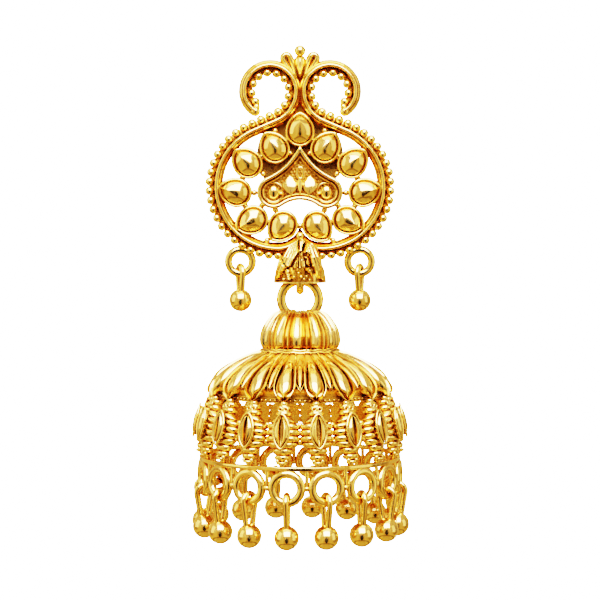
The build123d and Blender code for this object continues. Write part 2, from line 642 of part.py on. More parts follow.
def side_drops():
    """The left and right drops under the stud's side loops."""
    drop = Rot(0, 0, 90) * ball_drop(SIDE_DROP_LENGTH, SIDE_BALL_RADIUS)
    seat_v = SIDE_LOOP_V - SIDE_LOOP_RADIUS - LINK_SLACK
    depth = -(PAD_THICKNESS + BELL_DEPTH - SIDE_LOOP_BEHIND)
    return [
        Pos(side * SIDE_LOOP_U, depth, seat_v - POST_ABOVE_WIDEST) * Rot(0, 0, -side * SIDE_TURN) * drop
        for side in (-1, 1)
    ]


def main():
    """Builds every node and writes its STEP file."""
    os.makedirs("parts", exist_ok=True)
    left_drop, right_drop = side_drops()
    nodes = {
        "stud_plate": stud_plate(),
        "ear_post": ear_post(),
        "side_drop_left": left_drop,
        "side_drop_right": right_drop,
        "jhumka_bell": jhumka_bell(),
    }
    nodes.update({f"bell_drop_{n + 1:02d}": drop for n, drop in enumerate(bell_drops())})
    for name, solid in nodes.items():
        export_step(solid, f"parts/{name}.step")


if __name__ == "__main__":
    main()
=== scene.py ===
"""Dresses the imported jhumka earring: cast and beaded plate, leaf cap, hanging bell and ball drops.

Every sub-assembly is drawn in millimetres in its own small frame and placed in the row's frame,
where +Z is up, -Y is the side that shows and the origin is on the ear lobe. The plate is drawn
face on as (across, up, forward), and the bell about its own axis.
"""

from __future__ import annotations

import logging
import math
from collections.abc import Callable
from dataclasses import dataclass, field
from enum import Enum

import bmesh
import bpy
import numpy as np
from mathutils import Euler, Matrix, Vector

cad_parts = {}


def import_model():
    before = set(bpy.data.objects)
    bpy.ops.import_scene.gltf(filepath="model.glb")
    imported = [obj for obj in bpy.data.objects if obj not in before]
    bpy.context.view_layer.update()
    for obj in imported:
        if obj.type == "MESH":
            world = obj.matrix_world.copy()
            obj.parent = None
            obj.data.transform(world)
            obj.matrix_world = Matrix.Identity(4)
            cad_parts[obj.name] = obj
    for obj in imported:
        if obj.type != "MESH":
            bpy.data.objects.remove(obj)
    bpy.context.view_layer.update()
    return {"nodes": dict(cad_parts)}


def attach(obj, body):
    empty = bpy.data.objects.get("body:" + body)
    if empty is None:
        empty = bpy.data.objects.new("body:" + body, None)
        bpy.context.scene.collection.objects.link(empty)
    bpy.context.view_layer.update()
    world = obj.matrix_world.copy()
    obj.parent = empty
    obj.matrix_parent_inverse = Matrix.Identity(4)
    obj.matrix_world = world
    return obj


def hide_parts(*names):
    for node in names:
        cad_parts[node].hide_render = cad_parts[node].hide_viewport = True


LOG = logging.getLogger("jhumka")
MM = 0.001
X_AXIS = np.array([1.0, 0.0, 0.0])
Y_AXIS = np.array([0.0, 1.0, 0.0])
Z_AXIS = np.array([0.0, 0.0, 1.0])

Pairs = tuple[tuple[float, float], ...]
Triples = tuple[tuple[float, float, float], ...]
Place = Callable[[np.ndarray], np.ndarray]


# ---------------------------------------------------------------- where the sub-assemblies stand
@dataclass(frozen=True)
class Seats:
    """Where the plate and the bell stand in the row's frame, in millimetres."""

    post_above_widest: float = 3.6
    pad_thickness: float = 0.5
    bell_depth: float = 1.3

    def plate(self, points: np.ndarray) -> np.ndarray:
        """Moves plate points into the row's frame.

        Args:
            points: rows of (across, up, forward) in millimetres.

        Returns:
            Rows of (x, y, z) in metres.
        """
        across, up, forward = np.moveaxis(np.asarray(points, float), -1, 0)
        row = np.stack([across, -self.pad_thickness - forward, up - self.post_above_widest], -1)
        return row * MM

    def bell(self, points: np.ndarray) -> np.ndarray:
        """Moves points drawn about the bell's axis into the row's frame.

        Args:
            points: rows of (x, y, up) in millimetres.

        Returns:
            Rows of (x, y, z) in metres.
        """
        shift = np.array([0.0, -self.pad_thickness - self.bell_depth, -self.post_above_widest])
        return (np.asarray(points, float) + shift) * MM


SEATS = Seats()


class Finish(Enum):
    """The surface finishes of the plated metal; each mixes painted shade into its grooves and hollows."""

    POLISHED = "polished_gold"
    CAST = "cast_gold"
    GRANULATED = "granulated_gold"
    GROOVED = "grooved_gold"
    SHADED = "shaded_gold"
    # painted shadow: the dark finish of the sheet laid over the cap's shaded lower hollow
    PAINTED_SHADOW = "painted_shadow_gold"
    PLAIN = "plain_gold_back"


# ------------------------------------------------------------------------------- drawing in points
def unit(vectors: np.ndarray) -> np.ndarray:
    """The same vectors with length one along the last axis."""
    length = np.linalg.norm(vectors, axis=-1, keepdims=True)
    return vectors / np.where(length < 1e-12, 1.0, length)


def polar(centre: tuple[float, float], reach: float, degrees: np.ndarray) -> np.ndarray:
    """Points at a distance from a centre.

    Args:
        centre: the centre in the plane.
        reach: the distance.
        degrees: one angle for each point.

    Returns:
        An array of plane points.
    """
    turn = np.radians(degrees)
    return np.stack([centre[0] + reach * np.cos(turn), centre[1] + reach * np.sin(turn)], -1)


def arc(centre: tuple[float, float], reach: float, start: float, sweep: float, steps: int) -> np.ndarray:
    """A plane arc, both ends included.

    Args:
        centre: the arc's centre.
        reach: its radius.
        start: its first angle in degrees.
        sweep: how far it turns, in degrees.
        steps: the number of spans.

    Returns:
        steps + 1 plane points.
    """
    return polar(centre, reach, start + sweep * np.linspace(0, 1, steps + 1))


def full_turn(count: int) -> np.ndarray:
    """Angles in radians, spaced evenly round a circle."""
    return np.arange(count) / count * 2 * math.pi


def at_height(outline: np.ndarray, height: float) -> np.ndarray:
    """A plane outline lifted to a height."""
    return np.column_stack([outline, np.full(len(outline), height)])


def both_sides(line: np.ndarray) -> np.ndarray:
    """A plane line followed by its mirror image, run backwards."""
    return np.concatenate([line, (line * np.array([-1.0, 1.0]))[::-1]])


def joined(*runs: np.ndarray) -> np.ndarray:
    """Puts runs of points end to end.

    Args:
        runs: the runs in order.

    Returns:
        All their points, with each shared end kept once.
    """
    kept = [runs[0]]
    for run in runs[1:]:
        kept.append(run[1:] if np.allclose(kept[-1][-1], run[0], atol=1e-6) else run)
    return np.concatenate(kept)


def smooth_line(knots: Pairs | Triples, steps: int) -> np.ndarray:
    """A Catmull-Rom line through every knot.

    Args:
        knots: the points it passes through.
        steps: spans between two knots.

    Returns:
        The points of the line, both ends included.
    """
    pts = np.asarray(knots, float)
    pts = np.concatenate([[2 * pts[0] - pts[1]], pts, [2 * pts[-1] - pts[-2]]])
    line = []
    for n in range(1, len(pts) - 2):
        a, b, c, d = pts[n - 1 : n + 3]
        second, third = 2 * a - 5 * b + 4 * c - d, 3 * b - a - 3 * c + d
        for t in np.arange(steps) / steps:
            line.append(0.5 * (2 * b + (c - a) * t + second * t**2 + third * t**3))
    return np.array([*line, pts[-2]])


def even_places(line: np.ndarray, pitch: float) -> np.ndarray:
    """Places spaced evenly along a line, half a pitch in from its ends.

    Args:
        line: the points of the line.
        pitch: the wanted spacing.

    Returns:
        One point for each place.
    """
    span = np.linalg.norm(np.diff(line, axis=0), axis=1)
    run = np.concatenate([[0], np.cumsum(span)])
    count = round(run[-1] / pitch)
    at = (np.arange(count) + 0.5) / count * run[-1]
    return np.stack([np.interp(at, run, line[:, k]) for k in range(line.shape[1])], -1)


def depth_inside(corners: Pairs, across: np.ndarray, up: float) -> np.ndarray:
    """How deep places at one height lie inside a polygon.

    Args:
        corners: the polygon's corners in order.
        across: the places.
        up: their height.

    Returns:
        The distance to the nearest side, negative outside.
    """
    near, inside = np.full(len(across), np.inf), np.zeros(len(across), bool)
    for (u0, v0), (u1, v1) in zip(corners, corners[1:] + corners[:1]):
        run_u, run_v = u1 - u0, v1 - v0
        share = np.clip(((across - u0) * run_u + (up - v0) * run_v) / (run_u**2 + run_v**2), 0, 1)
        near = np.minimum(near, np.hypot(across - u0 - share * run_u, up - v0 - share * run_v))
        if (v0 > up) != (v1 > up):
            inside ^= across < u0 + (up - v0) / run_v * run_u
    return np.where(inside, near, -near)


def turn_about_up(points: np.ndarray, degrees: float) -> np.ndarray:
    """Points turned about the upright axis.

    Args:
        points: rows of three.
        degrees: how far they turn.

    Returns:
        The turned rows.
    """
    c, s = math.cos(math.radians(degrees)), math.sin(math.radians(degrees))
    x, y, z = np.moveaxis(points, -1, 0)
    return np.stack([c * x - s * y, s * x + c * y, z], -1)


def tube(path: np.ndarray, radius: float, sides: int, closed: bool = False) -> np.ndarray:
    """Rings of points round a path.

    Args:
        path: the middle line, as rows of three.
        radius: the wire's radius.
        sides: points in each ring.
        closed: whether the path's end meets its start.

    Returns:
        An array of rings, points and coordinates.
    """
    path = np.asarray(path, float)
    if closed:
        ahead, behind = np.roll(path, -1, 0), np.roll(path, 1, 0)
    else:
        ahead, behind = np.vstack([path[1:], path[-1:]]), np.vstack([path[:1], path[:-1]])
    along = unit(ahead - behind)
    guide = Z_AXIS if abs(along[0][2]) < 0.9 else X_AXIS
    side = unit(np.cross(along[0], guide))
    rings = []
    turn = full_turn(sides)
    for point, tangent in zip(path, along):
        side = unit(side - tangent * np.dot(side, tangent))
        other = np.cross(tangent, side)
        rings.append(point + radius * (np.outer(np.cos(turn), side) + np.outer(np.sin(turn), other)))
    return np.array(rings)


def torus(centre: np.ndarray, across: np.ndarray, up: np.ndarray, reach: float, wire: float) -> np.ndarray:
    """The rings of a round wire bent to a circle.

    Args:
        centre: the circle's centre.
        across: one direction in its plane.
        up: the other direction in its plane.
        reach: the radius of the wire's middle line.
        wire: the wire's radius.

    Returns:
        An array of rings, points and coordinates.
    """
    turn = full_turn(56)
    path = np.asarray(centre) + reach * (np.outer(np.cos(turn), across) + np.outer(np.sin(turn), up))
    return tube(path, wire, 18, closed=True)


def ball_template(level: int) -> tuple[np.ndarray, list[tuple[int, ...]]]:
    """The points and faces of a ball of radius one.

    Args:
        level: how finely it is divided.

    Returns:
        Its points, and its faces as point numbers.
    """
    work = bmesh.new()
    bmesh.ops.create_icosphere(work, subdivisions=level, radius=1.0)
    points = np.array([v.co for v in work.verts], float)
    faces = [tuple(v.index for v in f.verts) for f in work.faces]
    work.free()
    return points, faces


BALLS = {level: ball_template(level) for level in (2, 3, 4)}


@dataclass
class Form:
    """Points and faces gathered for one piece, in millimetres."""

    points: list[np.ndarray] = field(default_factory=list)
    faces: list[tuple[int, ...]] = field(default_factory=list)
    count: int = 0

    def add(self, points: np.ndarray, faces: list[tuple[int, ...]]) -> None:
        """Adds points and faces.

        Args:
            points: rows of three.
            faces: the faces, which number these points from zero.
        """
        base = self.count
        self.points.append(points)
        self.faces.extend(tuple(base + i for i in face) for face in faces)
        self.count += len(points)

    def grid(
        self, rows: np.ndarray, loop_rows: bool = False, loop_columns: bool = False, caps: bool = False
    ) -> None:
        """Adds a sheet of quads over a grid of points.

        Args:
            rows: the grid as rows, columns and coordinates.
            loop_rows: joins the last row to the first.
            loop_columns: joins the last column to the first.
            caps: closes the first and the last row with a face each.
        """
        n, m = rows.shape[:2]
        faces = []
        for i in range(n if loop_rows else n - 1):
            a, b = i * m, (i + 1) % n * m
            for j in range(m if loop_columns else m - 1):
                k = (j + 1) % m
                faces.append((a + j, a + k, b + k, b + j))
        if caps:
            faces.append(tuple(range(m))[::-1])
            faces.append(tuple(range((n - 1) * m, n * m)))
        self.add(rows.reshape(-1, 3), faces)

    def ball(
        self,
        centre: np.ndarray,
        radius: float,
        level: int = 3,
        squash: tuple[float, float, float] | None = None,
    ) -> None:
        """Adds a ball.

        Args:
            centre: its middle.
            radius: its radius.
            level: how finely it is divided.
            squash: a factor for each direction, or None for a true ball.
        """
        points, faces = BALLS[level]
        scale = radius * (np.ones(3) if squash is None else np.asarray(squash))
        self.add(points * scale + np.asarray(centre), faces)

    def closed(self, rows: np.ndarray) -> None:
        """Adds a grid that runs round both ways, such as a ring."""
        self.grid(rows, loop_rows=True, loop_columns=True)

    def solid(self, rows: np.ndarray) -> None:
        """Adds a grid whose columns run round, with a face at each end."""
        self.grid(rows, loop_columns=True, caps=True)

    def wire(self, path: np.ndarray, radius: float, sides: int) -> None:
        """Adds a round wire with flat ends along an open path."""
        self.solid(tube(path, radius, sides))

    def mirrored(self) -> Form:
        """Doubles the form over the middle line.

        Returns:
            The same form on both sides.
        """
        both = Form()
        for flip in (1.0, -1.0):
            shift = both.count
            both.points.extend(block * np.array([flip, 1.0, 1.0]) for block in self.points)
            both.faces.extend(tuple(shift + i for i in face) for face in self.faces)
            both.count += self.count
        return both

    def around(self, count: int, start: float) -> Form:
        """Copies of a form drawn on the bell's x axis, turned evenly about that bell.

        Args:
            count: how many copies.
            start: the first one's turn in degrees.

        Returns:
            All the copies as one form.
        """
        ring = Form()
        for n in range(count):
            shift = ring.count
            ring.points.extend(turn_about_up(block, start + 360 * n / count) for block in self.points)
            ring.faces.extend(tuple(shift + i for i in face) for face in self.faces)
            ring.count += self.count
        return ring


@dataclass
class Workshop:
    """Turns forms into finished Blender pieces on their bodies."""

    materials: dict[Finish, bpy.types.Material]

    def make(
        self, name: str, form: Form, place: Place, finish: Finish, body: str, crease: float = 42.0
    ) -> bpy.types.Object:
        """Makes one piece.

        Args:
            name: the piece's name.
            form: its points and faces.
            place: the seat that moves millimetres into the row's frame.
            finish: its finish.
            body: the body it rides on.
            crease: the angle in degrees over which an edge stays sharp.

        Returns:
            The Blender object.
        """
        mesh = bpy.data.meshes.new(name)
        mesh.from_pydata(place(np.concatenate(form.points)).tolist(), [], form.faces)
        work = bmesh.new()
        work.from_mesh(mesh)
        bmesh.ops.dissolve_degenerate(work, dist=1e-7, edges=work.edges)
        bmesh.ops.recalc_face_normals(work, faces=work.faces)
        limit = math.radians(crease)
        for edge in work.edges:
            edge.smooth = not (edge.is_manifold and edge.calc_face_angle(0.0) > limit)
        for face in work.faces:
            face.smooth = True
        work.to_mesh(mesh)
        work.free()
        mesh.materials.append(self.materials[finish])
        piece = bpy.data.objects.new(name, mesh)
        bpy.context.scene.collection.objects.link(piece)
        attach(piece, body)
        LOG.info("%s: %d faces on %s", name, len(mesh.polygons), body)
        return piece


# --------------------------------------------------------------------------------------- finishes
class Effects:
    """Shader groups that the finishes share."""

    def __init__(self) -> None:
        """Builds both groups once."""
        self.grain = self._grain()
        self.painted_shade = self._painted_shade()

    @staticmethod
    def _group(name: str, inputs: dict[str, float], outputs: dict[str, str]) -> bpy.types.NodeTree:
        """Makes an empty group.

        Args:
            name: the group's name.
            inputs: each number input and its default.
            outputs: each output and its socket type.

        Returns:
            The group, with its input and output nodes.
        """
        group = bpy.data.node_groups.new(name, "ShaderNodeTree")
        for label, value in inputs.items():
            socket = group.interface.new_socket(label, in_out="INPUT", socket_type="NodeSocketFloat")
            socket.default_value = value
        for label, kind in outputs.items():
            group.interface.new_socket(label, in_out="OUTPUT", socket_type=kind)
        group.nodes.new("NodeGroupInput").name = "in"
        group.nodes.new("NodeGroupOutput").name = "out"
        return group

    def _grain(self) -> bpy.types.NodeTree:
        """Fine casting grain: small pits and slow waves.

        Returns:
            The group, which puts out a height and a mask.
        """
        group = self._group(
            "casting_grain",
            {"Pit Size": 4000.0, "Wave Size": 500.0, "Pits": 0.5},
            {"Height": "NodeSocketFloat", "Mask": "NodeSocketFloat"},
        )
        nodes, links = group.nodes, group.links
        place = nodes.new("ShaderNodeTexCoord")
        pits, waves = nodes.new("ShaderNodeTexNoise"), nodes.new("ShaderNodeTexNoise")
        pits.inputs["Detail"].default_value = 3.0
        waves.inputs["Detail"].default_value = 2.0
        mix = nodes.new("ShaderNodeMix")
        mix.data_type = "FLOAT"
        for node, size in ((pits, "Pit Size"), (waves, "Wave Size")):
            links.new(place.outputs["Object"], node.inputs["Vector"])
            links.new(nodes["in"].outputs[size], node.inputs["Scale"])
        links.new(nodes["in"].outputs["Pits"], mix.inputs["Factor"])
        links.new(waves.outputs["Fac"], mix.inputs["A"])
        links.new(pits.outputs["Fac"], mix.inputs["B"])
        links.new(mix.outputs["Result"], nodes["out"].inputs["Height"])
        links.new(pits.outputs["Fac"], nodes["out"].inputs["Mask"])
        return group

    def _painted_shade(self) -> bpy.types.NodeTree:
        """Painted shade: the plating drawn dark and orange deep in the grooves and hollows, where shade
        falls, broken up by a slow noise.

        Returns:
            The group, which puts out a mask.
        """
        group = self._group(
            "groove_painted_shade",
            {"Reach": 0.0006, "Strength": 0.8, "Patches": 700.0},
            {"Mask": "NodeSocketFloat"},
        )
        nodes, links = group.nodes, group.links
        hollow = nodes.new("ShaderNodeAmbientOcclusion")
        hollow.samples = 8
        hollow.only_local = False
        place, patches = nodes.new("ShaderNodeTexCoord"), nodes.new("ShaderNodeTexNoise")
        deep = nodes.new("ShaderNodeMapRange")
        deep.inputs["From Min"].default_value = 0.86
        deep.inputs["From Max"].default_value = 0.4
        deep.interpolation_type = "SMOOTHSTEP"
        break_up = nodes.new("ShaderNodeMapRange")
        break_up.inputs["From Min"].default_value = 0.3
        break_up.inputs["From Max"].default_value = 0.7
        break_up.inputs["To Min"].default_value = 0.75
        times, strength = nodes.new("ShaderNodeMath"), nodes.new("ShaderNodeMath")
        times.operation = strength.operation = "MULTIPLY"
        links.new(nodes["in"].outputs["Reach"], hollow.inputs["Distance"])
        links.new(hollow.outputs["AO"], deep.inputs["Value"])
        links.new(place.outputs["Object"], patches.inputs["Vector"])
        links.new(nodes["in"].outputs["Patches"], patches.inputs["Scale"])
        links.new(patches.outputs["Fac"], break_up.inputs["Value"])
        links.new(deep.outputs["Result"], times.inputs[0])
        links.new(break_up.outputs["Result"], times.inputs[1])
        links.new(times.outputs["Value"], strength.inputs[0])
        links.new(nodes["in"].outputs["Strength"], strength.inputs[1])
        links.new(strength.outputs["Value"], nodes["out"].inputs["Mask"])
        return group


@dataclass(frozen=True)
class PlatedMetal:
    """One finish of the gold plating.

    Roughness runs from its polished value to its dull value with the grain, and the colour from bright to
    deep with painted shade in the grooves and hollows.
    """

    finish: Finish
    bright: tuple[float, float, float]
    # deep: the painted shade colour that the occlusion mask mixes into grooves and hollows
    deep: tuple[float, float, float]
    polished: float
    dull: float
    pit_size: float
    wave_size: float
    pits: float
    relief: float
    reach: float
    strength: float

    def build(self, effects: Effects) -> bpy.types.Material:
        """Makes the material.

        Args:
            effects: the shared groups.

        Returns:
            The material.
        """
        material = bpy.data.materials.new(self.finish.value)
        material.use_nodes = True
        nodes, links = material.node_tree.nodes, material.node_tree.links
        shader = nodes["Principled BSDF"]
        shader.inputs["Metallic"].default_value = 1.0
        grain, painted_shade = nodes.new("ShaderNodeGroup"), nodes.new("ShaderNodeGroup")
        grain.node_tree, painted_shade.node_tree = effects.grain, effects.painted_shade
        grain.inputs["Pit Size"].default_value = self.pit_size
        grain.inputs["Wave Size"].default_value = self.wave_size
        grain.inputs["Pits"].default_value = self.pits
        painted_shade.inputs["Reach"].default_value = self.reach
        painted_shade.inputs["Strength"].default_value = self.strength
        # Painted shade: the base colour turns to the deep colour where the occlusion mask finds grooves and
        # hollows.
        colour = nodes.new("ShaderNodeMix")
        colour.data_type = "RGBA"
        colour.inputs[6].default_value = (*self.bright, 1.0)
        colour.inputs[7].default_value = (*self.deep, 1.0)
        rough = nodes.new("ShaderNodeMapRange")
        rough.inputs["From Min"].default_value = 0.3
        rough.inputs["From Max"].default_value = 0.75
        rough.inputs["To Min"].default_value = self.polished
        rough.inputs["To Max"].default_value = self.dull
        bump = nodes.new("ShaderNodeBump")
        bump.inputs["Strength"].default_value = 1.0
        bump.inputs["Distance"].default_value = self.relief * MM
        links.new(painted_shade.outputs["Mask"], colour.inputs["Factor"])
        links.new(colour.outputs[2], shader.inputs["Base Color"])
        links.new(grain.outputs["Mask"], rough.inputs["Value"])
        links.new(rough.outputs["Result"], shader.inputs["Roughness"])
        links.new(grain.outputs["Height"], bump.inputs["Height"])
        links.new(bump.outputs["Normal"], shader.inputs["Normal"])
        return material


# Plating colours. The deep colours are painted shade, mixed in where an occlusion mask finds grooves and
# hollows; the shaded gold and the darkest gold are painted shade over whole parts that lie in shadow: the
# web, the dome's shell and the cap's lower hollow.
BRIGHT_GOLD = (1.0, 0.67, 0.26)
RECESS_SHADE_GOLD = (0.46, 0.18, 0.025)
FLOOR_GOLD = (0.95, 0.57, 0.18)
FLOOR_RECESS_SHADE = (0.42, 0.18, 0.03)
SHADE_GOLD = (0.72, 0.38, 0.09)
SHADE_BROWN = (0.24, 0.1, 0.018)
SHADOW_SHEET_GOLD = (0.36, 0.165, 0.03)
BACK_GOLD = (0.96, 0.65, 0.25)

FINISHES = (
    PlatedMetal(Finish.POLISHED, BRIGHT_GOLD, RECESS_SHADE_GOLD, 0.09, 0.15, 3000, 420, 0.25, 0.012, 0.5 * MM, 0.55),
    PlatedMetal(Finish.CAST, BRIGHT_GOLD, RECESS_SHADE_GOLD, 0.11, 0.2, 3600, 600, 0.45, 0.02, 0.8 * MM, 0.85),
    PlatedMetal(Finish.GRANULATED, FLOOR_GOLD, FLOOR_RECESS_SHADE, 0.28, 0.5, 5200, 900, 0.7, 0.09, 1.1 * MM, 0.95),
    PlatedMetal(Finish.GROOVED, BRIGHT_GOLD, SHADE_BROWN, 0.09, 0.16, 3000, 420, 0.25, 0.012, 0.6 * MM, 1.0),
    PlatedMetal(Finish.SHADED, SHADE_GOLD, SHADE_BROWN, 0.26, 0.4, 4200, 700, 0.5, 0.03, 2.0 * MM, 1.0),
    PlatedMetal(Finish.PAINTED_SHADOW, SHADOW_SHEET_GOLD, SHADE_BROWN, 0.2, 0.34, 4200, 700, 0.5, 0.02, 1.5 * MM, 1.0),
    # the plain back reaches 3 mm for painted shade, which darkens the pad's face behind the plate
    PlatedMetal(Finish.PLAIN, BACK_GOLD, SHADE_BROWN, 0.22, 0.36, 900, 150, 0.2, 0.006, 3.0 * MM, 0.95),
)


# ------------------------------------------------------------------------------------ the stud plate
@dataclass
class RimLine:
    """The left half of the rim's line: scroll, neck, round body and cusp."""

    scroll: tuple[float, float] = (-3.7, 12.0)
    scroll_radius: float = 3.36
    curl_radius: float = 2.95
    tip_angle: float = 240.0
    neck_radius: float = 4.1
    body: tuple[float, float] = (-2.75, 0.1)
    body_radius: float = 7.5
    cusp_radius: float = 3.4

    def line(self, offset: float, detail: float = 1.0) -> np.ndarray:
        """Points along the rim, moved towards its beaded side by an offset.

        Args:
            offset: the distance from the rim's middle line.
            detail: a factor on the number of points.

        Returns:
            Plane points from the scroll's tip to the cusp.
        """
        curl = (self.scroll[0] - self.scroll_radius + self.curl_radius, self.scroll[1])
        neck = (self.scroll[0] + self.scroll_radius - self.neck_radius, self.scroll[1])
        cusp = (self.body[0], self.body[1] - self.body_radius + self.cusp_radius)
        run_u, run_v = self.body[0] - neck[0], self.body[1] - neck[1]
        lean = math.acos((self.neck_radius + self.body_radius) / math.hypot(run_u, run_v))
        leave = math.degrees(math.atan2(run_v, run_u) + lean)
        end = 360 - math.degrees(math.acos(-cusp[0] / (self.cusp_radius + offset)))
        steps = [max(2, round(detail * n)) for n in (16, 48, 18, 8, 60, 22)]
        start = polar(neck, self.neck_radius - offset, leave)
        finish = polar(self.body, self.body_radius + offset, leave + 180)
        share = np.linspace(0, 1, steps[3] + 1)[:, None]
        return joined(
            arc(curl, self.curl_radius - offset, self.tip_angle, 180 - self.tip_angle, steps[0]),
            arc(self.scroll, self.scroll_radius - offset, 180, -180, steps[1]),
            arc(neck, self.neck_radius - offset, 0, leave, steps[2]),
            start + (finish - start) * share,
            arc(self.body, self.body_radius + offset, leave + 180, 90 - leave, steps[4]),
            arc(cusp, self.cusp_radius + offset, 270, end - 270, steps[5]),
        )


@dataclass
class Rim:
    """The rim's ridge, the ledge outside it and its row of beads."""

    line: RimLine = field(default_factory=RimLine)
    ridge_at: float = 0.15
    ridge_height: float = 1.9
    ridge_radius: float = 0.22
    bead_radius: float = 0.55
    bead_offset: float = 1.03
    bead_height: float = 1.2
    bead_pitch: float = 1.17
    beads_end_at: float = -2.7
    slope: Pairs = (
        *((-0.58, 0.0), (-0.58, 0.4), (-0.58, 0.8), (-0.55, 1.08), (-0.46, 1.36), (-0.32, 1.6)),
        *((-0.2, 1.7), (-0.12, 1.66)),
    )
    ledge: Pairs = (
        *((0.4, 1.5), (0.46, 1.15), (0.56, 0.94), (0.95, 0.9), (1.08, 0.84), (1.13, 0.7)),
        *((1.12, 0.05), (1.08, 0.0)),
    )
    tip_ball: tuple[float, float, float] = (0.05, -0.55, 0.62)
    tip_bead: tuple[float, float, float] = (0.62, 0.1, 0.44)
    cusp_bead_sunk: float = 0.15

    def section(self) -> list[tuple[float, float]]:
        """The rim's closed section: inner slope, groove, ridge and ledge.

        Returns:
            Pairs of an offset and a height.
        """
        centre, bow = self.ridge_at, self.ridge_radius
        ridge = [
            (centre - bow * math.cos(a), self.ridge_height + bow * math.sin(a))
            for a in np.linspace(0, math.pi, 9)
        ]
        return [*self.slope, *ridge, *self.ledge]

    def band(self) -> Form:
        """Draws the ridge and its ledge.

        Returns:
            One closed band over both halves of the plate.
        """
        columns = []
        for offset, height in self.section():
            left = self.line.line(offset)
            whole = both_sides(left)
            columns.append(at_height(np.delete(whole, len(left), 0), height))
        form = Form()
        form.solid(np.stack(columns, 1))
        return form

    def beads(self) -> Form:
        """Draws the row of beads, the balls at the scrolls' ends and the bead in the cusp.

        Returns:
            All of them, on both halves.
        """
        left = Form()
        for u, v in even_places(self.line.line(self.bead_offset, 4.0), self.bead_pitch):
            under_cap = v < self.line.body[1] - self.line.cusp_radius and u > self.beads_end_at
            if not under_cap:
                left.ball(np.array([u, v, self.bead_height]), self.bead_radius)
        offset, rise, radius = self.tip_ball
        left.ball(np.array([*self.line.line(offset)[0], self.ridge_height + rise]), radius)
        offset, rise, radius = self.tip_bead
        left.ball(np.array([*self.line.line(offset)[1], self.bead_height + rise]), radius)
        both = left.mirrored()
        low = self.ridge_height - self.cusp_bead_sunk
        both.ball(np.array([*self.line.line(0.0)[-1], low]), self.bead_radius)
        return both


def drop_outline(radius: float, length: float, round_steps: int, side_steps: int) -> np.ndarray:
    """A drop's outline from its tip, down its left side, round its foot and back to the tip.

    Args:
        radius: the round end's radius.
        length: how far the tip stands above the round end's middle.
        round_steps: spans round the round end.
        side_steps: spans up each side.

    Returns:
        A closed run of plane points, with the tip once.
    """
    side = (length**2 + radius**2) / (2 * radius)
    turn = math.degrees(math.asin(min(1.0, length / side)))
    down = arc((side - radius, 0), side, 180 - turn, turn, side_steps)
    foot = arc((0, 0), radius, 180, 180, round_steps)
    up = arc((radius - side, 0), side, 0, turn, side_steps)
    return joined(down, foot, up)[:-1]


@dataclass
class Cells:
    """The eleven drop-shaped cells and the grains between them."""

    radius: float = 1.86
    length: float = 2.56
    places: Triples = (
        *((0.0, 6.95, 90), (3.08, 4.82, 57), (6.45, 2.95, 46), (7.85, -0.6, 16)),
        *((5.8, -3.95, -29), (2.08, -4.6, -52)),
    )
    grains: Pairs = (
        *((1.55, 5.9), (4.77, 3.9), (7.16, 1.18), (6.83, -2.28), (3.94, -4.28), (1.25, 4.3)),
        *((4.6, 1.75), (5.7, -0.62), (4.75, -2.2), (3.05, -2.75), (7.4, -4.9), (4.1, -6.55)),
        (3.1, 7.1),
    )
    middle_grain: float = -4.75
    grain_radius: float = 0.4
    middle_grain_radius: float = 0.42
    grain_height: float = 1.3
    stem_radius: float = 0.36
    wall: Pairs = (
        *((0.0, 0.04), (0.0, 1.6), (0.04, 1.84), (0.12, 1.97), (0.21, 2.0), (0.3, 1.95)),
        *((0.35, 1.84), (0.38, 1.74), (0.42, 1.7)),
    )
    tip_inset: float = 1.3
    kernel_inset: float = 0.45
    kernel_foot: float = 1.68
    kernel_rise: float = 0.9
    kernel_edge: float = 0.28
    kernel_shift: float = 0.42
    kernel_shares: tuple[float, ...] = (
        *(0.0, 0.03, 0.08, 0.14, 0.22, 0.32, 0.42),
        *(0.52, 0.62, 0.72, 0.81, 0.89, 0.95, 0.985),
    )

    def cell(self) -> np.ndarray:
        """Draws one cell with its tip upwards: wall, lip, groove and ridged kernel.

        Returns:
            A grid of points.
        """
        rows = []
        for inset, height in self.wall:
            rows.append(self._ring(self.radius - inset, self.length - self.tip_inset * inset, height))
        widest, longest = self.radius - self.kernel_inset, self.length - self.tip_inset * self.kernel_inset
        for share in self.kernel_shares:
            edge = self.kernel_edge * min(1.0, share / 0.08) ** 0.6
            slope = edge + (1 - self.kernel_edge) * math.sin(share * math.pi / 2)
            height = self.kernel_foot + self.kernel_rise * slope
            rows.append(self._ring(widest * (1 - share), longest * (1 - self.kernel_shift * share), height))
        return np.array(rows)

    @staticmethod
    def _ring(radius: float, length: float, height: float) -> np.ndarray:
        """One drop-shaped ring of the cell, with the same number of points for every size."""
        return at_height(drop_outline(radius, length, 28, 14), height)

    def form(self) -> Form:
        """Draws all the cells in their places.

        Returns:
            The eleven cells.
        """
        one, form = self.cell(), Form()
        for u, v, tip in self.places:
            for sign in (1, -1) if u else (1,):
                form.solid(placed_leaf(one, (u, v, 0.0), 90 - tip) * np.array([sign, 1.0, 1.0]))
        return form

    def grain_form(self) -> Form:
        """Draws the small grains that solder neighbours together.

        Returns:
            The grains on their stems, on both halves.
        """
        left = Form()
        for u, v in self.grains:
            self._grain(left, u, v, self.grain_radius)
        both = left.mirrored()
        self._grain(both, 0.0, self.middle_grain, self.middle_grain_radius)
        return both

    def _grain(self, form: Form, u: float, v: float, radius: float) -> None:
        """Adds one grain on its stem.

        Args:
            form: the form that it joins.
            u: its place across the plate.
            v: its height on the plate.
            radius: the grain's radius.
        """
        top = np.array([u, v, self.grain_height])
        form.wire(np.array([[u, v, 0.0], top]), self.stem_radius, 12)
        form.ball(top, radius, 2)


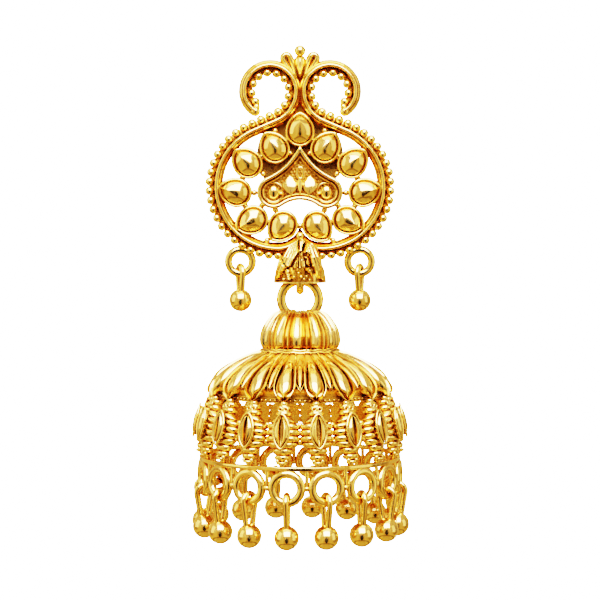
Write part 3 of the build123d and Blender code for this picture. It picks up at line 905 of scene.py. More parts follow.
def leaf(length: float, half_width: float, height: float, crease: float, foot: float = 0.0) -> np.ndarray:
    """A leaf lying in the plate's plane, from the origin upwards, raised to a crease on its middle line.

    Args:
        length: its length.
        half_width: its greatest half width.
        height: how high its crease stands.
        crease: how sharp the crease is, from 0 for a round back to 1 for a roof.
        foot: how far its edge is drawn down below the plane.

    Returns:
        A grid of points; its first and last rows are tiny, so that they can be closed with a face.
    """
    rows = []
    for s in np.concatenate([[0.0], np.linspace(0.03, 0.97, 17), [1.0]]):
        swell = math.sin(math.pi * min(max(s, 0.012), 0.988)) ** 0.85
        width, rise = half_width * swell, height * swell**0.8
        row = [(-width, s * length, -foot)]
        for u in np.linspace(-1, 1, 13):
            back = (1 - crease) * math.sqrt(max(0.0, 1 - u * u)) + crease * (1 - abs(u))
            row.append((width * u, s * length, rise * back))
        row.append((width, s * length, -foot))
        rows.append(row)
    return np.array(rows)


def placed_leaf(
    grid: np.ndarray, root: tuple[float, float, float], lean: float, tip_up: float = 0.0
) -> np.ndarray:
    """Turns a leaf or a cell in the plate's plane and moves it to its root.

    Args:
        grid: the leaf, upright.
        root: where its root stands.
        lean: how far it leans to the right of upright, in degrees.
        tip_up: how far its tip is lifted off the plate, in degrees.

    Returns:
        The placed grid.
    """
    lift = math.radians(tip_up)
    x, y, d = np.moveaxis(grid, -1, 0)
    y, d = y * math.cos(lift) - d * math.sin(lift), y * math.sin(lift) + d * math.cos(lift)
    turn = math.radians(-lean)
    c, s = math.cos(turn), math.sin(turn)
    return np.stack([root[0] + c * x - s * y, root[1] + s * x + c * y, root[2] + d], -1)


@dataclass
class KidneyFrame:
    """The frame in the middle of the plate: wall, granulated floor, bosses and lotus spray."""

    lobe: tuple[float, float] = (3.3, -0.55)
    lobe_radius: float = 1.75
    saddle_radius: float = 3.9
    ogee_radius: float = 9.0
    apex: float = 4.75
    floor: float = 0.8
    foot: float = -0.86
    wall_section: Pairs = (
        *((0.3, 0.0), (0.3, 1.8), (0.26, 1.98), (0.15, 2.08), (0.0, 2.1), (-0.13, 2.04)),
        *((-0.2, 1.86), (-0.22, 1.52), (-0.28, 1.5), (-0.32, 1.66), (-0.42, 1.74)),
        *((-0.52, 1.66), (-0.56, 1.4), (-0.58, 0.7), (-0.3, 0.0)),
    )
    bed_edge: float = -0.72
    bed_pitch: float = 0.45
    bed_grain: float = 0.2
    boss_ring: tuple[float, float, float] = (0.3, 1.2, 0.17)
    boss: tuple[float, float] = (0.5, 0.8)
    boss_squash: tuple[float, float, float] = (0.95, 1.1, 0.62)
    petals: tuple[tuple[float, float, float, float, float], ...] = (
        (0.0, 0, 2.6, 0.3, -4),
        (1.1, 6, 2.6, 0.92, -14),
        (2.0, 62, 1.1, 0.22, -16),
    )
    petal_up: float = 0.95
    petal_height: float = 0.24
    petal_crease: float = 0.5
    petal_foot: float = 0.7
    bud: tuple[float, float, float] = (0.05, 1.85, 1.1)
    bud_size: tuple[float, float] = (0.4, 0.7)
    bud_wire: float = 0.18

    def _ogee_centre(self) -> tuple[float, float]:
        """Finds the right-hand ogee arc, which touches the lobe and meets the apex.

        Returns:
            The arc's centre.
        """
        du, dv = self.lobe[0], self.lobe[1] - self.apex
        gap = math.hypot(du, dv)
        first, second = self.ogee_radius, self.ogee_radius + self.lobe_radius
        along = (first**2 - second**2 + gap**2) / (2 * gap)
        across = math.sqrt(first**2 - along**2)
        return (along * du - across * dv) / gap, self.apex + (along * dv + across * du) / gap

    def outline(self, offset: float) -> np.ndarray:
        """The closed outline, from the saddle's middle round the right side.

        Args:
            offset: how far it is grown.

        Returns:
            Plane points, with the saddle's middle once.
        """
        apart = self.lobe_radius + self.saddle_radius
        saddle = (0.0, self.lobe[1] - math.sqrt(apart**2 - self.lobe[0] ** 2))
        ogee = self._ogee_centre()
        into = math.degrees(math.atan2(saddle[1] - self.lobe[1], saddle[0] - self.lobe[0])) % 360
        out = math.degrees(math.atan2(ogee[1] - self.lobe[1], ogee[0] - self.lobe[0]))
        reach = self.ogee_radius - offset
        top = 180 + math.degrees(math.acos(ogee[0] / reach))
        right = joined(
            arc(saddle, self.saddle_radius - offset, 90, into - 270, 14),
            arc(self.lobe, self.lobe_radius + offset, into, out + 360 - into, 34),
            arc(ogee, reach, out + 180, top - out - 180, 20),
        )
        return np.delete(both_sides(right), (len(right), -1), 0)

    def wall(self) -> Form:
        """Draws the frame's wall, with a rounded top and a second, lower line inside it.

        Returns:
            The closed wall.
        """
        form = Form()
        columns = [at_height(self.outline(offset), height) for offset, height in self.wall_section]
        form.closed(np.stack(columns, 1))
        return form

    def floor_plate(self) -> Form:
        """Draws the floor inside the wall, with a bed of grains over it.

        Returns:
            The floor and its grains.
        """
        edge = self.outline(-0.2)
        form = Form()
        form.solid(np.array([at_height(edge, 0.05), at_height(edge, self.floor)]))
        for u, v in self._bed(self.outline(self.bed_edge)):
            form.ball(np.array([u, v, self.floor + 0.02]), self.bed_grain, 2)
        return form

    def _bed(self, outline: np.ndarray) -> list[tuple[float, float]]:
        """Places of the bed's grains, in staggered rows.

        Args:
            outline: the closed edge that they stay inside.

        Returns:
            Plane points.
        """
        places = []
        for row in range(-12, 13):
            v = row * self.bed_pitch * 0.866
            for column in range(-14, 15):
                u = (column + 0.5 * (row % 2)) * self.bed_pitch
                crossings = 0
                for (u0, v0), (u1, v1) in zip(outline, np.roll(outline, -1, 0)):
                    if (v0 > v) != (v1 > v) and u < u0 + (v - v0) / (v1 - v0) * (u1 - u0):
                        crossings += 1
                if crossings % 2:
                    places.append((u, v))
        return places

    def ornaments(self) -> Form:
        """Draws the two bosses in their rings, the spray's petals and the ringed bud over them.

        Returns:
            All of them, on the floor.
        """
        form = Form()
        ring_up, ring_radius, ring_wire = self.boss_ring
        boss_up, boss_radius = self.boss
        for sign in (1, -1):
            centre = np.array([sign * self.lobe[0], self.lobe[1], self.floor])
            form.closed(torus(centre + ring_up * Z_AXIS, X_AXIS, Y_AXIS, ring_radius, ring_wire))
            form.ball(centre + boss_up * Z_AXIS, boss_radius, 4, self.boss_squash)
        for root, lean, length, half_width, tilt in self.petals:
            petal = leaf(length, half_width, self.petal_height, self.petal_crease, self.petal_foot)
            for sign in (1, -1) if root else (1,):
                seat = (sign * root, self.foot, self.floor + self.petal_up)
                form.solid(placed_leaf(petal, seat, sign * lean, tilt))
        turn = full_turn(28)
        oval = np.stack([self.bud_size[0] * np.sin(turn), self.bud_size[1] * np.cos(turn), 0 * turn], -1)
        path = np.array([*self.bud[:2], self.floor + self.bud[2]]) + oval
        form.closed(tube(path, self.bud_wire, 10, closed=True))
        return form


@dataclass
class Crest:
    """The fan of lobes and the ball between the scrolls, over the web that joins the necks."""

    root: float = 13.2
    lobe: tuple[float, float] = (1.68, 16.1)
    lobe_radius: float = 0.84
    middle: float = 15.75
    middle_radius: float = 0.74
    root_apart: float = 0.2
    ball: tuple[float, float] = (17.0, 1.15)
    ball_radius: float = 0.71
    web_edge: Pairs = ((-0.72, 14.6), (0.72, 14.6), (0.72, 10.6), (1.5, 8.2), (-1.5, 8.2), (-0.72, 10.6))
    web_heights: tuple[float, float] = (0.06, 0.6)
    groove: Pairs = (
        *((1.0, 0.3), (1.0, 0.9), (0.96, 1.2), (0.86, 1.45), (0.7, 1.62), (0.5, 1.68)),
        *((0.32, 1.62), (0.16, 1.4), (0.05, 1.1)),
    )
    ridge: Pairs = (
        *((1.0, 0.3), (1.0, 1.0), (0.9, 1.3), (0.7, 1.6), (0.45, 1.85), (0.2, 2.0)),
        (0.04, 2.06),
    )

    def form(self) -> Form:
        """Draws the fan of two grooved lobes and a ridged one, and its ball.

        Returns:
            The whole fan.
        """
        form = Form()
        for sign in (1, -1):
            top = (sign * self.lobe[0], self.lobe[1])
            form.solid(self._lobe(top, self.lobe_radius, sign * self.root_apart, self.groove))
        form.solid(self._lobe((0.0, self.middle), self.middle_radius, 0.0, self.ridge))
        form.ball(np.array([0, *self.ball]), self.ball_radius)
        return form

    def _lobe(self, top: tuple[float, float], radius: float, root: float, section: Pairs) -> np.ndarray:
        """A lobe, round above and drawn out to a point at its root.

        Args:
            top: the middle of its round end.
            radius: the round end's radius.
            root: how far its root stands from the middle line.
            section: pairs of a share of its outline and the height there.

        Returns:
            A grid of points.
        """
        run = math.hypot(root - top[0], self.root - top[1])
        rows = []
        for scale, height in section:
            rows.append(at_height(drop_outline(radius * scale, run * (0.4 + 0.6 * scale), 18, 12), height))
        lean = math.degrees(math.atan2(root - top[0], self.root - top[1]))
        return placed_leaf(np.array(rows), (*top, 0.0), lean)

    def web(self) -> Form:
        """Draws the sunk web between the two necks.

        Returns:
            The web, as one flat solid.
        """
        form = Form()
        form.solid(np.array([at_height(np.array(self.web_edge), height) for height in self.web_heights]))
        return form


@dataclass(frozen=True)
class CapLeaf:
    """One leaf of the cap: its outline, and a face that leans across and falls."""

    corners: Pairs
    high: float
    lean: float
    fall: float


@dataclass
class LeafCap:
    """The bell-mouthed cap of leaves, the hook inside it and the two side loops."""

    top: float = -6.45
    bottom: float = -11.8
    hang_depth: float = 1.3
    hook_wire: float = 0.52
    ring_wire: float = 0.6
    hook_clearance: float = 0.13
    pivot: float = -11.55
    loop_place: tuple[float, float] = (7.45, -9.2)
    loop_radius: float = 1.5
    loop_wire: float = 0.48
    loop_behind: float = 0.5
    reaches: Pairs = ((0.0, 0.7), (0.12, 1.25), (0.4, 2.4), (0.7, 3.08), (0.9, 3.28), (1.0, 3.34))
    wall: float = 0.75
    mouth_radius: float = 2.5
    mouth_from: float = 0.74
    ground: float = -0.3
    ground_fall: float = 0.5
    fan_above: float = 0.6
    crease_pitch: float = 6.5
    crease_depth: float = 0.13
    leaf_edge: float = 0.14
    lip_height: float = 0.24
    lip_stand: float = 0.06
    side_from: float = 0.9
    side_sunk: float = 0.04
    fold_pitch: float = 0.8
    fold_depth: float = 0.26
    leaves: tuple[CapLeaf, ...] = (
        CapLeaf(
            (
                *((-0.15, -6.5), (-1.1, -7.2), (-2.3, -8.45), (-1.95, -9.3)),
                *((-1.5, -9.9), (-1.05, -9.7), (-0.12, -8.0)),
            ),
            0.42,
            0.14,
            0.04,
        ),
        CapLeaf(
            (
                *((-2.35, -8.3), (-2.9, -9.4), (-3.6, -11.7), (-3.15, -11.7)),
                *((-2.4, -10.6), (-1.55, -9.85), (-1.95, -9.2)),
            ),
            0.34,
            0.12,
            0.1,
        ),
        CapLeaf(((-0.08, -8.05), (-0.55, -9.0), (-0.95, -9.75), (-0.6, -10.1), (-0.1, -9.7)), 0.4, 0.35, 0.3),
        CapLeaf(((0.5, -6.5), (-0.1, -6.5), (-0.2, -7.9), (0.25, -8.0)), 0.3, -0.1, 0.3),
        CapLeaf(((0.05, -8.15), (0.0, -9.6), (0.55, -10.2), (0.45, -9.0)), 0.36, -0.3, 0.25),
        CapLeaf(((0.3, -8.2), (0.5, -8.75), (1.0, -9.0), (0.75, -8.45)), 0.4, -0.2, 0.3),
        CapLeaf(((0.58, -8.95), (0.7, -9.5), (1.2, -9.85), (1.1, -9.2)), 0.4, -0.2, 0.3),
        CapLeaf(((0.6, -9.65), (0.75, -10.25), (1.9, -11.4), (1.3, -10.1)), 0.36, -0.2, 0.25),
        CapLeaf(((-1.85, -10.0), (-1.5, -9.95), (-1.2, -11.5), (-1.6, -11.5)), 0.05, 0.5, 0.0),
        CapLeaf(
            (
                *((0.55, -6.6), (0.35, -7.9), (1.0, -8.4), (1.35, -9.6), (2.2, -10.8)),
                *((3.1, -11.7), (3.7, -11.7), (3.0, -9.4), (1.6, -7.3)),
            ),
            0.46,
            -0.14,
            0.26,
        ),
    )
    bead_rise: float = 1.4
    beads: Triples = (
        *((-1.5, -10.75, 0.26), (-1.45, -11.25, 0.3), (-2.3, -11.3, 0.22), (-0.85, -11.0, 0.2)),
        *((-0.2, -10.5, 0.22), (0.15, -10.95, 0.26), (0.55, -11.25, 0.2), (0.9, -10.9, 0.2)),
        *((1.35, -11.35, 0.2), (-0.3, -10.0, 0.16)),
    )

    def _share(self, v: float) -> float:
        """How far down the cap a height lies, from 0 to 1."""
        return (self.top - v) / (self.top - self.bottom)

    def _reach(self, share: float) -> float:
        """The cap's radius at a share of its height from the top."""
        return float(np.interp(share, [knot[0] for knot in self.reaches], [knot[1] for knot in self.reaches]))

    def _ground(self, v: float) -> float:
        """How deep the ground between the leaves lies at a height."""
        return self.ground - self.ground_fall * max(0.0, self._share(v) - 0.5)

    def _row(self, turns: np.ndarray, reach: np.ndarray | float, v: float) -> np.ndarray:
        """One level row of the cap.

        Args:
            turns: the columns' turns from straight ahead, in radians.
            reach: the distance from the cap's axis.
            v: the height.

        Returns:
            The row's points.
        """
        level = np.full(len(turns), v)
        return np.stack([reach * np.sin(turns), level, self.hang_depth + reach * np.cos(turns)], -1)

    def shell(self) -> Form:
        """Draws the cap's front half, with its leaves in relief and its hollow mouth.

        Returns:
            The closed shell.
        """
        side = np.linspace(62, 90, 8)[1:]
        turns = np.radians(np.concatenate([-side[::-1], np.linspace(-62, 62, 105), side]))
        outer, inner = [], []
        for share in np.linspace(0, 1, 84):
            v, reach = self.top - share * (self.top - self.bottom), self._reach(share)
            outer.append(self._row(turns, reach + self._relief(reach * np.sin(turns), v), v))
            inside = min(reach - self.wall, self.mouth_radius) if share > self.mouth_from else 0.02
            inner.append(self._row(turns, inside, v))
        return self._closed(outer, inner)

    def hollow(self) -> Form:
        """Draws a thin dark sheet over the ground between the leaves at the cap's foot, folded into small
        leaves, which carries the painted shadow of that hollow.

        Returns:
            A thin closed sheet over the cap's ground.
        """
        turns = np.radians(np.linspace(-46, 36, 84))
        outer, inner = [], []
        for share in np.linspace(0.64, 0.955, 40):
            v, reach = self.top - share * (self.top - self.bottom), self._reach(share)
            fan = reach * np.sin(turns) / self.fold_pitch + 0.35 * math.sin(v / self.fold_pitch)
            fold = self.fold_depth * (1 - np.abs(2 * (fan - np.floor(fan)) - 1))
            ground = reach + self._ground(v)
            outer.append(self._row(turns, ground + 0.02 + fold, v))
            inner.append(self._row(turns, ground - 0.06, v))
        return self._closed(outer, inner)

    @staticmethod
    def _closed(outer: list[np.ndarray], inner: list[np.ndarray]) -> Form:
        """Joins an outer and an inner surface into one closed shell.

        Args:
            outer: the rows of the outer surface, from the top.
            inner: the rows of the inner surface, from the top.

        Returns:
            The shell.
        """
        form = Form()
        rows = np.array(outer + inner[::-1])
        form.grid(rows, loop_rows=True)
        wide, half = rows.shape[1], len(outer)
        for column in (0, wide - 1):
            for i in range(half - 1):
                near, far = i * wide + column, (2 * half - 1 - i) * wide + column
                form.faces.append((near, near + wide, far - wide, far))
        return form

    def _relief(self, across: np.ndarray, v: float) -> np.ndarray:
        """How far the cap stands out: leaves cut clear of a sunk ground, beads and a lip.

        Args:
            across: places across the cap.
            v: the height.

        Returns:
            The relief at each place, in millimetres.
        """
        fan = np.degrees(np.arctan2(across, self.top + self.fan_above - v)) / self.crease_pitch
        crease = self.crease_depth * np.abs(np.cos(fan * math.pi)) ** 10
        ground = self._ground(v)
        stand = ground - 1.2 * crease
        for one in self.leaves:
            ramp = np.clip(depth_inside(one.corners, across, v) / self.leaf_edge, 0, 1) ** 0.5
            middle = np.mean(one.corners, axis=0)
            face = one.high + one.lean * (across - middle[0]) + one.fall * (v - middle[1]) - crease
            stand = np.maximum(stand, ground + (face - ground) * ramp)
        for u, v0, radius in self.beads:
            near = 1 - ((across - u) ** 2 + (v - v0) ** 2) / radius**2
            stand = np.maximum(stand, ground + self.bead_rise * radius * np.sqrt(np.clip(near, 0, 1)))
        if v < self.bottom + self.lip_height:
            stand = np.maximum(stand, self.lip_stand)
        edge = np.abs(across) / self._reach(self._share(v))
        side = np.clip((edge - self.side_from) / 0.08, 0, 1)
        return stand * (1 - side) - self.side_sunk * side

    def hook(self) -> Form:
        """Draws the round hook that the bell's ring hangs on.

        Returns:
            The hook, in a plane from front to back.
        """
        form = Form()
        reach = self.ring_wire + self.hook_clearance + self.hook_wire
        centre = np.array([0.0, self.pivot, self.hang_depth])
        form.closed(torus(centre, Y_AXIS, Z_AXIS, reach, self.hook_wire))
        return form

    def loops(self) -> Form:
        """Draws the two side loops.

        Returns:
            Both, facing forward.
        """
        form = Form()
        across, up = self.loop_place
        for side in (across, -across):
            centre = np.array([side, up, self.hang_depth - self.loop_behind])
            form.closed(torus(centre, X_AXIS, Y_AXIS, self.loop_radius, self.loop_wire))
        return form


@dataclass
class StudPlate:
    """The whole cast stud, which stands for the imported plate."""

    rim: Rim = field(default_factory=Rim)
    cells: Cells = field(default_factory=Cells)
    frame: KidneyFrame = field(default_factory=KidneyFrame)
    crest: Crest = field(default_factory=Crest)
    cap: LeafCap = field(default_factory=LeafCap)
    body: str = "stud"

    def build(self, shop: Workshop) -> None:
        """Makes every piece of the stud.

        Args:
            shop: the workshop that finishes them.
        """
        pieces = (
            ("stud_rim", self.rim.band(), Finish.CAST),
            ("stud_rim_beads", self.rim.beads(), Finish.POLISHED),
            ("stud_cells", self.cells.form(), Finish.POLISHED),
            ("stud_grains", self.cells.grain_form(), Finish.CAST),
            ("stud_frame", self.frame.wall(), Finish.CAST),
            ("stud_frame_floor", self.frame.floor_plate(), Finish.GRANULATED),
            ("stud_frame_spray", self.frame.ornaments(), Finish.POLISHED),
            ("stud_crest", self.crest.form(), Finish.POLISHED),
            ("stud_crest_web", self.crest.web(), Finish.SHADED),
            ("stud_leaf_cap", self.cap.shell(), Finish.GROOVED),
            # a dark sheet whose finish paints the shadow in the cap's lower hollow
            ("stud_leaf_cap_shadow_sheet", self.cap.hollow(), Finish.PAINTED_SHADOW),
            ("stud_hook", self.cap.hook(), Finish.POLISHED),
            ("stud_side_loops", self.cap.loops(), Finish.POLISHED),
        )
        for name, form, finish in pieces:
            piece = shop.make(name, form, SEATS.plate, finish, self.body)
            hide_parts("stud_plate")


# ------------------------------------------------------------------------------------------ the bell
FRONT = -90.0


@dataclass
class HangRing:
    """The round ring soldered upright in the crown."""

    radius: float = 2.35
    wire: float = 0.6
    up: float = -13.9

    def form(self) -> Form:
        """Draws the ring.

        Returns:
            The ring, facing forward.
        """
        form = Form()
        form.closed(torus(self.up * Z_AXIS, X_AXIS, Z_AXIS, self.radius, self.wire))
        return form


def turned_sheet(profile: np.ndarray, turns: np.ndarray, swell: np.ndarray | None = None) -> np.ndarray:
    """A profile turned about the bell's axis, with a swell along its outward normal.

    Args:
        profile: rows of radius and height.
        turns: the angles of the columns, in degrees.
        swell: how far each point of the grid stands out, or None.

    Returns:
        A grid of points.
    """
    along = unit(np.gradient(profile, axis=0))
    normal = np.stack([-along[:, 1], along[:, 0]], -1)
    if swell is None:
        swell = np.zeros((len(profile), len(turns)))
    reach = profile[:, 0, None] + normal[:, 0, None] * swell
    height = profile[:, 1, None] + normal[:, 1, None] * swell
    a = np.radians(turns)
    return np.stack([reach * np.cos(a), reach * np.sin(a), height], -1)


@dataclass
class Crown:
    """The fluted crown under the ring: broad panels between pairs of narrow ridges."""

    flutes: int = 13
    first_pair: float = 9.5
    ridge_apart: float = 3.9
    ridge_width: float = 1.5
    ridge_rise: float = 0.2
    channel_depth: float = 0.24
    channel_width: float = 1.3
    side_channel_beyond: float = 2.9
    side_channel_width: float = 0.9
    panel_rise: float = 0.18
    panel_reach: float = 7.0
    sunk: float = 0.06
    inside: Pairs = ((3.7, -20.3), (3.44, -18.5), (3.3, -18.2), (0.3, -18.2))
    knots: Pairs = (
        *((0.3, -15.72), (1.3, -15.58), (2.3, -15.42), (3.2, -15.85), (3.95, -16.72)),
        *((4.55, -17.75), (4.8, -18.85), (4.66, -19.6), (4.3, -20.05)),
    )

    def form(self) -> Form:
        """Draws the crown's shell: fluted outside, plain inside.

        Returns:
            The closed shell.
        """
        outer = smooth_line(self.knots, 4)
        pitch = 360 / self.flutes
        columns = self.flutes * 36
        turns = FRONT + self.first_pair + np.arange(columns) / columns * 360
        local = (np.arange(columns) / columns * 360 + pitch / 2) % pitch - pitch / 2
        side = np.abs(local)
        ridge = np.exp(-(((side - self.ridge_apart) / self.ridge_width) ** 2))
        beyond = (side - self.ridge_apart - self.side_channel_beyond) / self.side_channel_width
        channel = np.exp(-((side / self.channel_width) ** 2)) + np.exp(-(beyond**2))
        panel = np.clip(1 - ((side - pitch / 2) / self.panel_reach) ** 2, 0, 1)
        fade = np.clip((outer[:, 0] - 1.2) / 2.0, 0, 1)[:, None]
        relief = self.ridge_rise * ridge - self.channel_depth * channel + self.panel_rise * panel - self.sunk
        shell = turned_sheet(outer[::-1], turns, (fade * relief)[::-1])[::-1]
        form = Form()
        form.solid(np.concatenate([shell, turned_sheet(np.array(self.inside), turns)]))
        return form


@dataclass(frozen=True)
class PetalCut:
    """How one kind of petal is cut.

    The widths are shares of the crest line, each with the petal's half width and its pan's. The wire
    is its raised edge, the pan stands over the petal's line, the whole lies sunk under the crest line
    and the lip pushes its tip out.
    """

    widths: Triples
    wire: float
    pan: float
    sunk: float
    lip: float


@dataclass
class Dome:
    """The petalled dome: its shell, its petals, the leaves between them and its collar."""

    petals: int = 18
    turn: float = 10.0
    columns: int = 144
    outer: Pairs = ((4.3, -20.15), (6.2, -21.0), (7.9, -22.1), (9.5, -23.4), (10.6, -24.6))
    collar: Pairs = (
        *((10.35, -24.9), (10.35, -25.2), (10.48, -25.26)),
        *((10.48, -25.38), (10.35, -25.44), (10.35, -25.72)),
    )
    foot: Pairs = ((10.5, -25.78), (10.5, -25.9), (10.4, -25.95), (9.65, -25.95), (9.55, -25.85))
    inner: Pairs = ((9.55, -25.0), (8.7, -24.0), (7.1, -22.8), (5.3, -21.5), (3.7, -20.35))
    bands: Triples = ((4.62, -20.0, 0.15), (4.86, -20.28, 0.17))
    band_wave: float = 0.05
    bead_count: int = 108
    bead_circle: float = 10.4
    bead_height: float = -25.58
    bead_radius: float = 0.15
    pan_floor: float = 0.4
    climb: tuple[float, float] = (0.14, 0.52)
    fall: tuple[float, float] = (0.66, 0.27)
    lip_from: float = 0.8
    crest_line: Pairs = (
        *((4.62, -20.2), (6.3, -20.72), (8.2, -21.62), (9.85, -22.78), (10.95, -23.9)),
        *((11.4, -24.85), (11.3, -25.55)),
    )
    broad: PetalCut = PetalCut(
        (
            *((0.02, 0.48, 0.02), (0.12, 0.6, 0.04), (0.2, 0.72, 0.2), (0.32, 0.88, 0.46)),
            *((0.46, 1.06, 0.64), (0.6, 1.24, 0.8), (0.72, 1.36, 0.9), (0.8, 1.36, 0.86)),
            *((0.86, 1.28, 0.64), (0.905, 1.1, 0.2), (0.96, 0.72, 0.02), (1.0, 0.16, 0.01)),
        ),
        wire=0.27,
        pan=0.3,
        sunk=0.06,
        lip=0.26,
    )
    between: PetalCut = PetalCut(
        (
            *((0.16, 0.08, 0.02), (0.24, 0.3, 0.16), (0.38, 0.52, 0.36), (0.54, 0.66, 0.46)),
            *((0.68, 0.62, 0.4), (0.78, 0.4, 0.2), (0.85, 0.08, 0.02)),
        ),
        wire=0.12,
        pan=0.3,
        sunk=0.3,
        lip=0.0,
    )

    def shell(self) -> Form:
        """Draws the dome's shell and its collar.

        Returns:
            Both, as one closed section turned about the bell's axis.
        """
        outer, inner = smooth_line(self.outer, 6), smooth_line(self.inner, 6)
        section = np.concatenate([outer, np.array(self.collar), np.array(self.foot), inner])
        form = Form()
        form.closed(turned_sheet(section, np.arange(self.columns) * (360 / self.columns)))
        return form

    @staticmethod
    def _part(share: float, stretch: tuple[float, float]) -> float:
        """How far a share has come along a stretch, given as its start and length, from 0 to 1."""
        return min(1.0, max(0.0, (share - stretch[0]) / stretch[1]))

    @staticmethod
    def _section(half: float, inner: float, edge: float, high: float) -> list[tuple[float, float]]:
        """The petal's section across at one place.

        Args:
            half: its half width.
            inner: its pan's half width.
            edge: where its raised wire begins.
            high: the height of its pan's ridge.

        Returns:
            Pairs of a place across and a height, from one side to the other.
        """
        side = [
            (0.0, high),
            (inner * 0.3, high - 0.03 * (high + 0.5)),
            (inner * 0.6, high - 0.16 * (high + 0.5)),
            (inner * 0.85, high - 0.42 * (high + 0.5)),
            (inner, -0.42),
            (inner * 0.7 + edge * 0.3, -0.56),
            (inner * 0.15 + edge * 0.85, -0.54),
            (edge + (half - edge) * 0.1, -0.1),
            (edge + (half - edge) * 0.35, 0.1),
            (edge + (half - edge) * 0.65, 0.1),
            (half, -0.1),
            (half * 0.99, -0.75),
            (half * 0.85, -1.0),
        ]
        return [(-across, height) for across, height in side[::-1][:-1]] + side

    def _strip(self, cut: PetalCut) -> np.ndarray:
        """A petal that lies along the dome's crest line: a raised wire round a ridged pan.

        Args:
            cut: how it is cut.

        Returns:
            A closed grid drawn on the bell's x axis.
        """
        line = smooth_line(self.crest_line, 10)
        along = unit(np.gradient(line, axis=0))
        normal = np.stack([-along[:, 1], along[:, 0]], -1)
        run = np.concatenate([[0], np.cumsum(np.linalg.norm(np.diff(line, axis=0), axis=1))])
        knots = smooth_line(cut.widths, 8)
        rows = []
        for share in np.linspace(cut.widths[0][0], cut.widths[-1][0], 58):
            at = share * run[-1]
            reach, up = np.interp(at, run, line[:, 0]), np.interp(at, run, line[:, 1])
            out = np.array([np.interp(at, run, normal[:, 0]), np.interp(at, run, normal[:, 1])])
            half, inner = (float(np.interp(share, knots[:, 0], knots[:, n])) for n in (1, 2))
            inner = min(inner, 0.9 * half)
            climb, fall = self._part(share, self.climb), self._part(share, self.fall)
            rise = math.sin(climb * math.pi / 2) - 0.5 * fall**1.6
            high = (cut.pan + self.pan_floor) * rise - self.pan_floor
            full = self._section(half, inner, max(inner + 0.02, half - cut.wire), high)
            push = cut.lip * max(0.0, (share - self.lip_from) / 0.2) ** 1.2 - cut.sunk
            rows.append([(reach + out[0] * (h + push), a, up + out[1] * (h + push)) for a, h in full])
        return np.array(rows)

    def petal_ring(self) -> Form:
        """Draws the broad petals, each with a ridged pan inside a raised wire.

        Returns:
            All of them, round the bell.
        """
        one = Form()
        one.solid(self._strip(self.broad))
        return one.around(self.petals, FRONT + self.turn)

    def between_ring(self) -> Form:
        """Draws the low leaves between the petals.

        Returns:
            All of them, round the bell.
        """
        one = Form()
        one.solid(self._strip(self.between))
        return one.around(self.petals, FRONT + self.turn + 180 / self.petals)

    def collar_line(self) -> Form:
        """Draws the band under the crown and the collar's row of small beads.

        Returns:
            Both.
        """
        form = Form()
        turn = full_turn(180)
        wave = self.band_wave * np.cos(self.petals * (turn - math.radians(FRONT + self.turn)))
        for reach, up, wire in self.bands:
            path = np.stack([reach * np.cos(turn), reach * np.sin(turn), up + wave], -1)
            form.closed(tube(path, wire, 12, closed=True))
        for a in full_turn(self.bead_count):
            across, back = self.bead_circle * math.cos(a), self.bead_circle * math.sin(a)
            form.ball(np.array([across, back, self.bead_height]), self.bead_radius, 2)
        return form


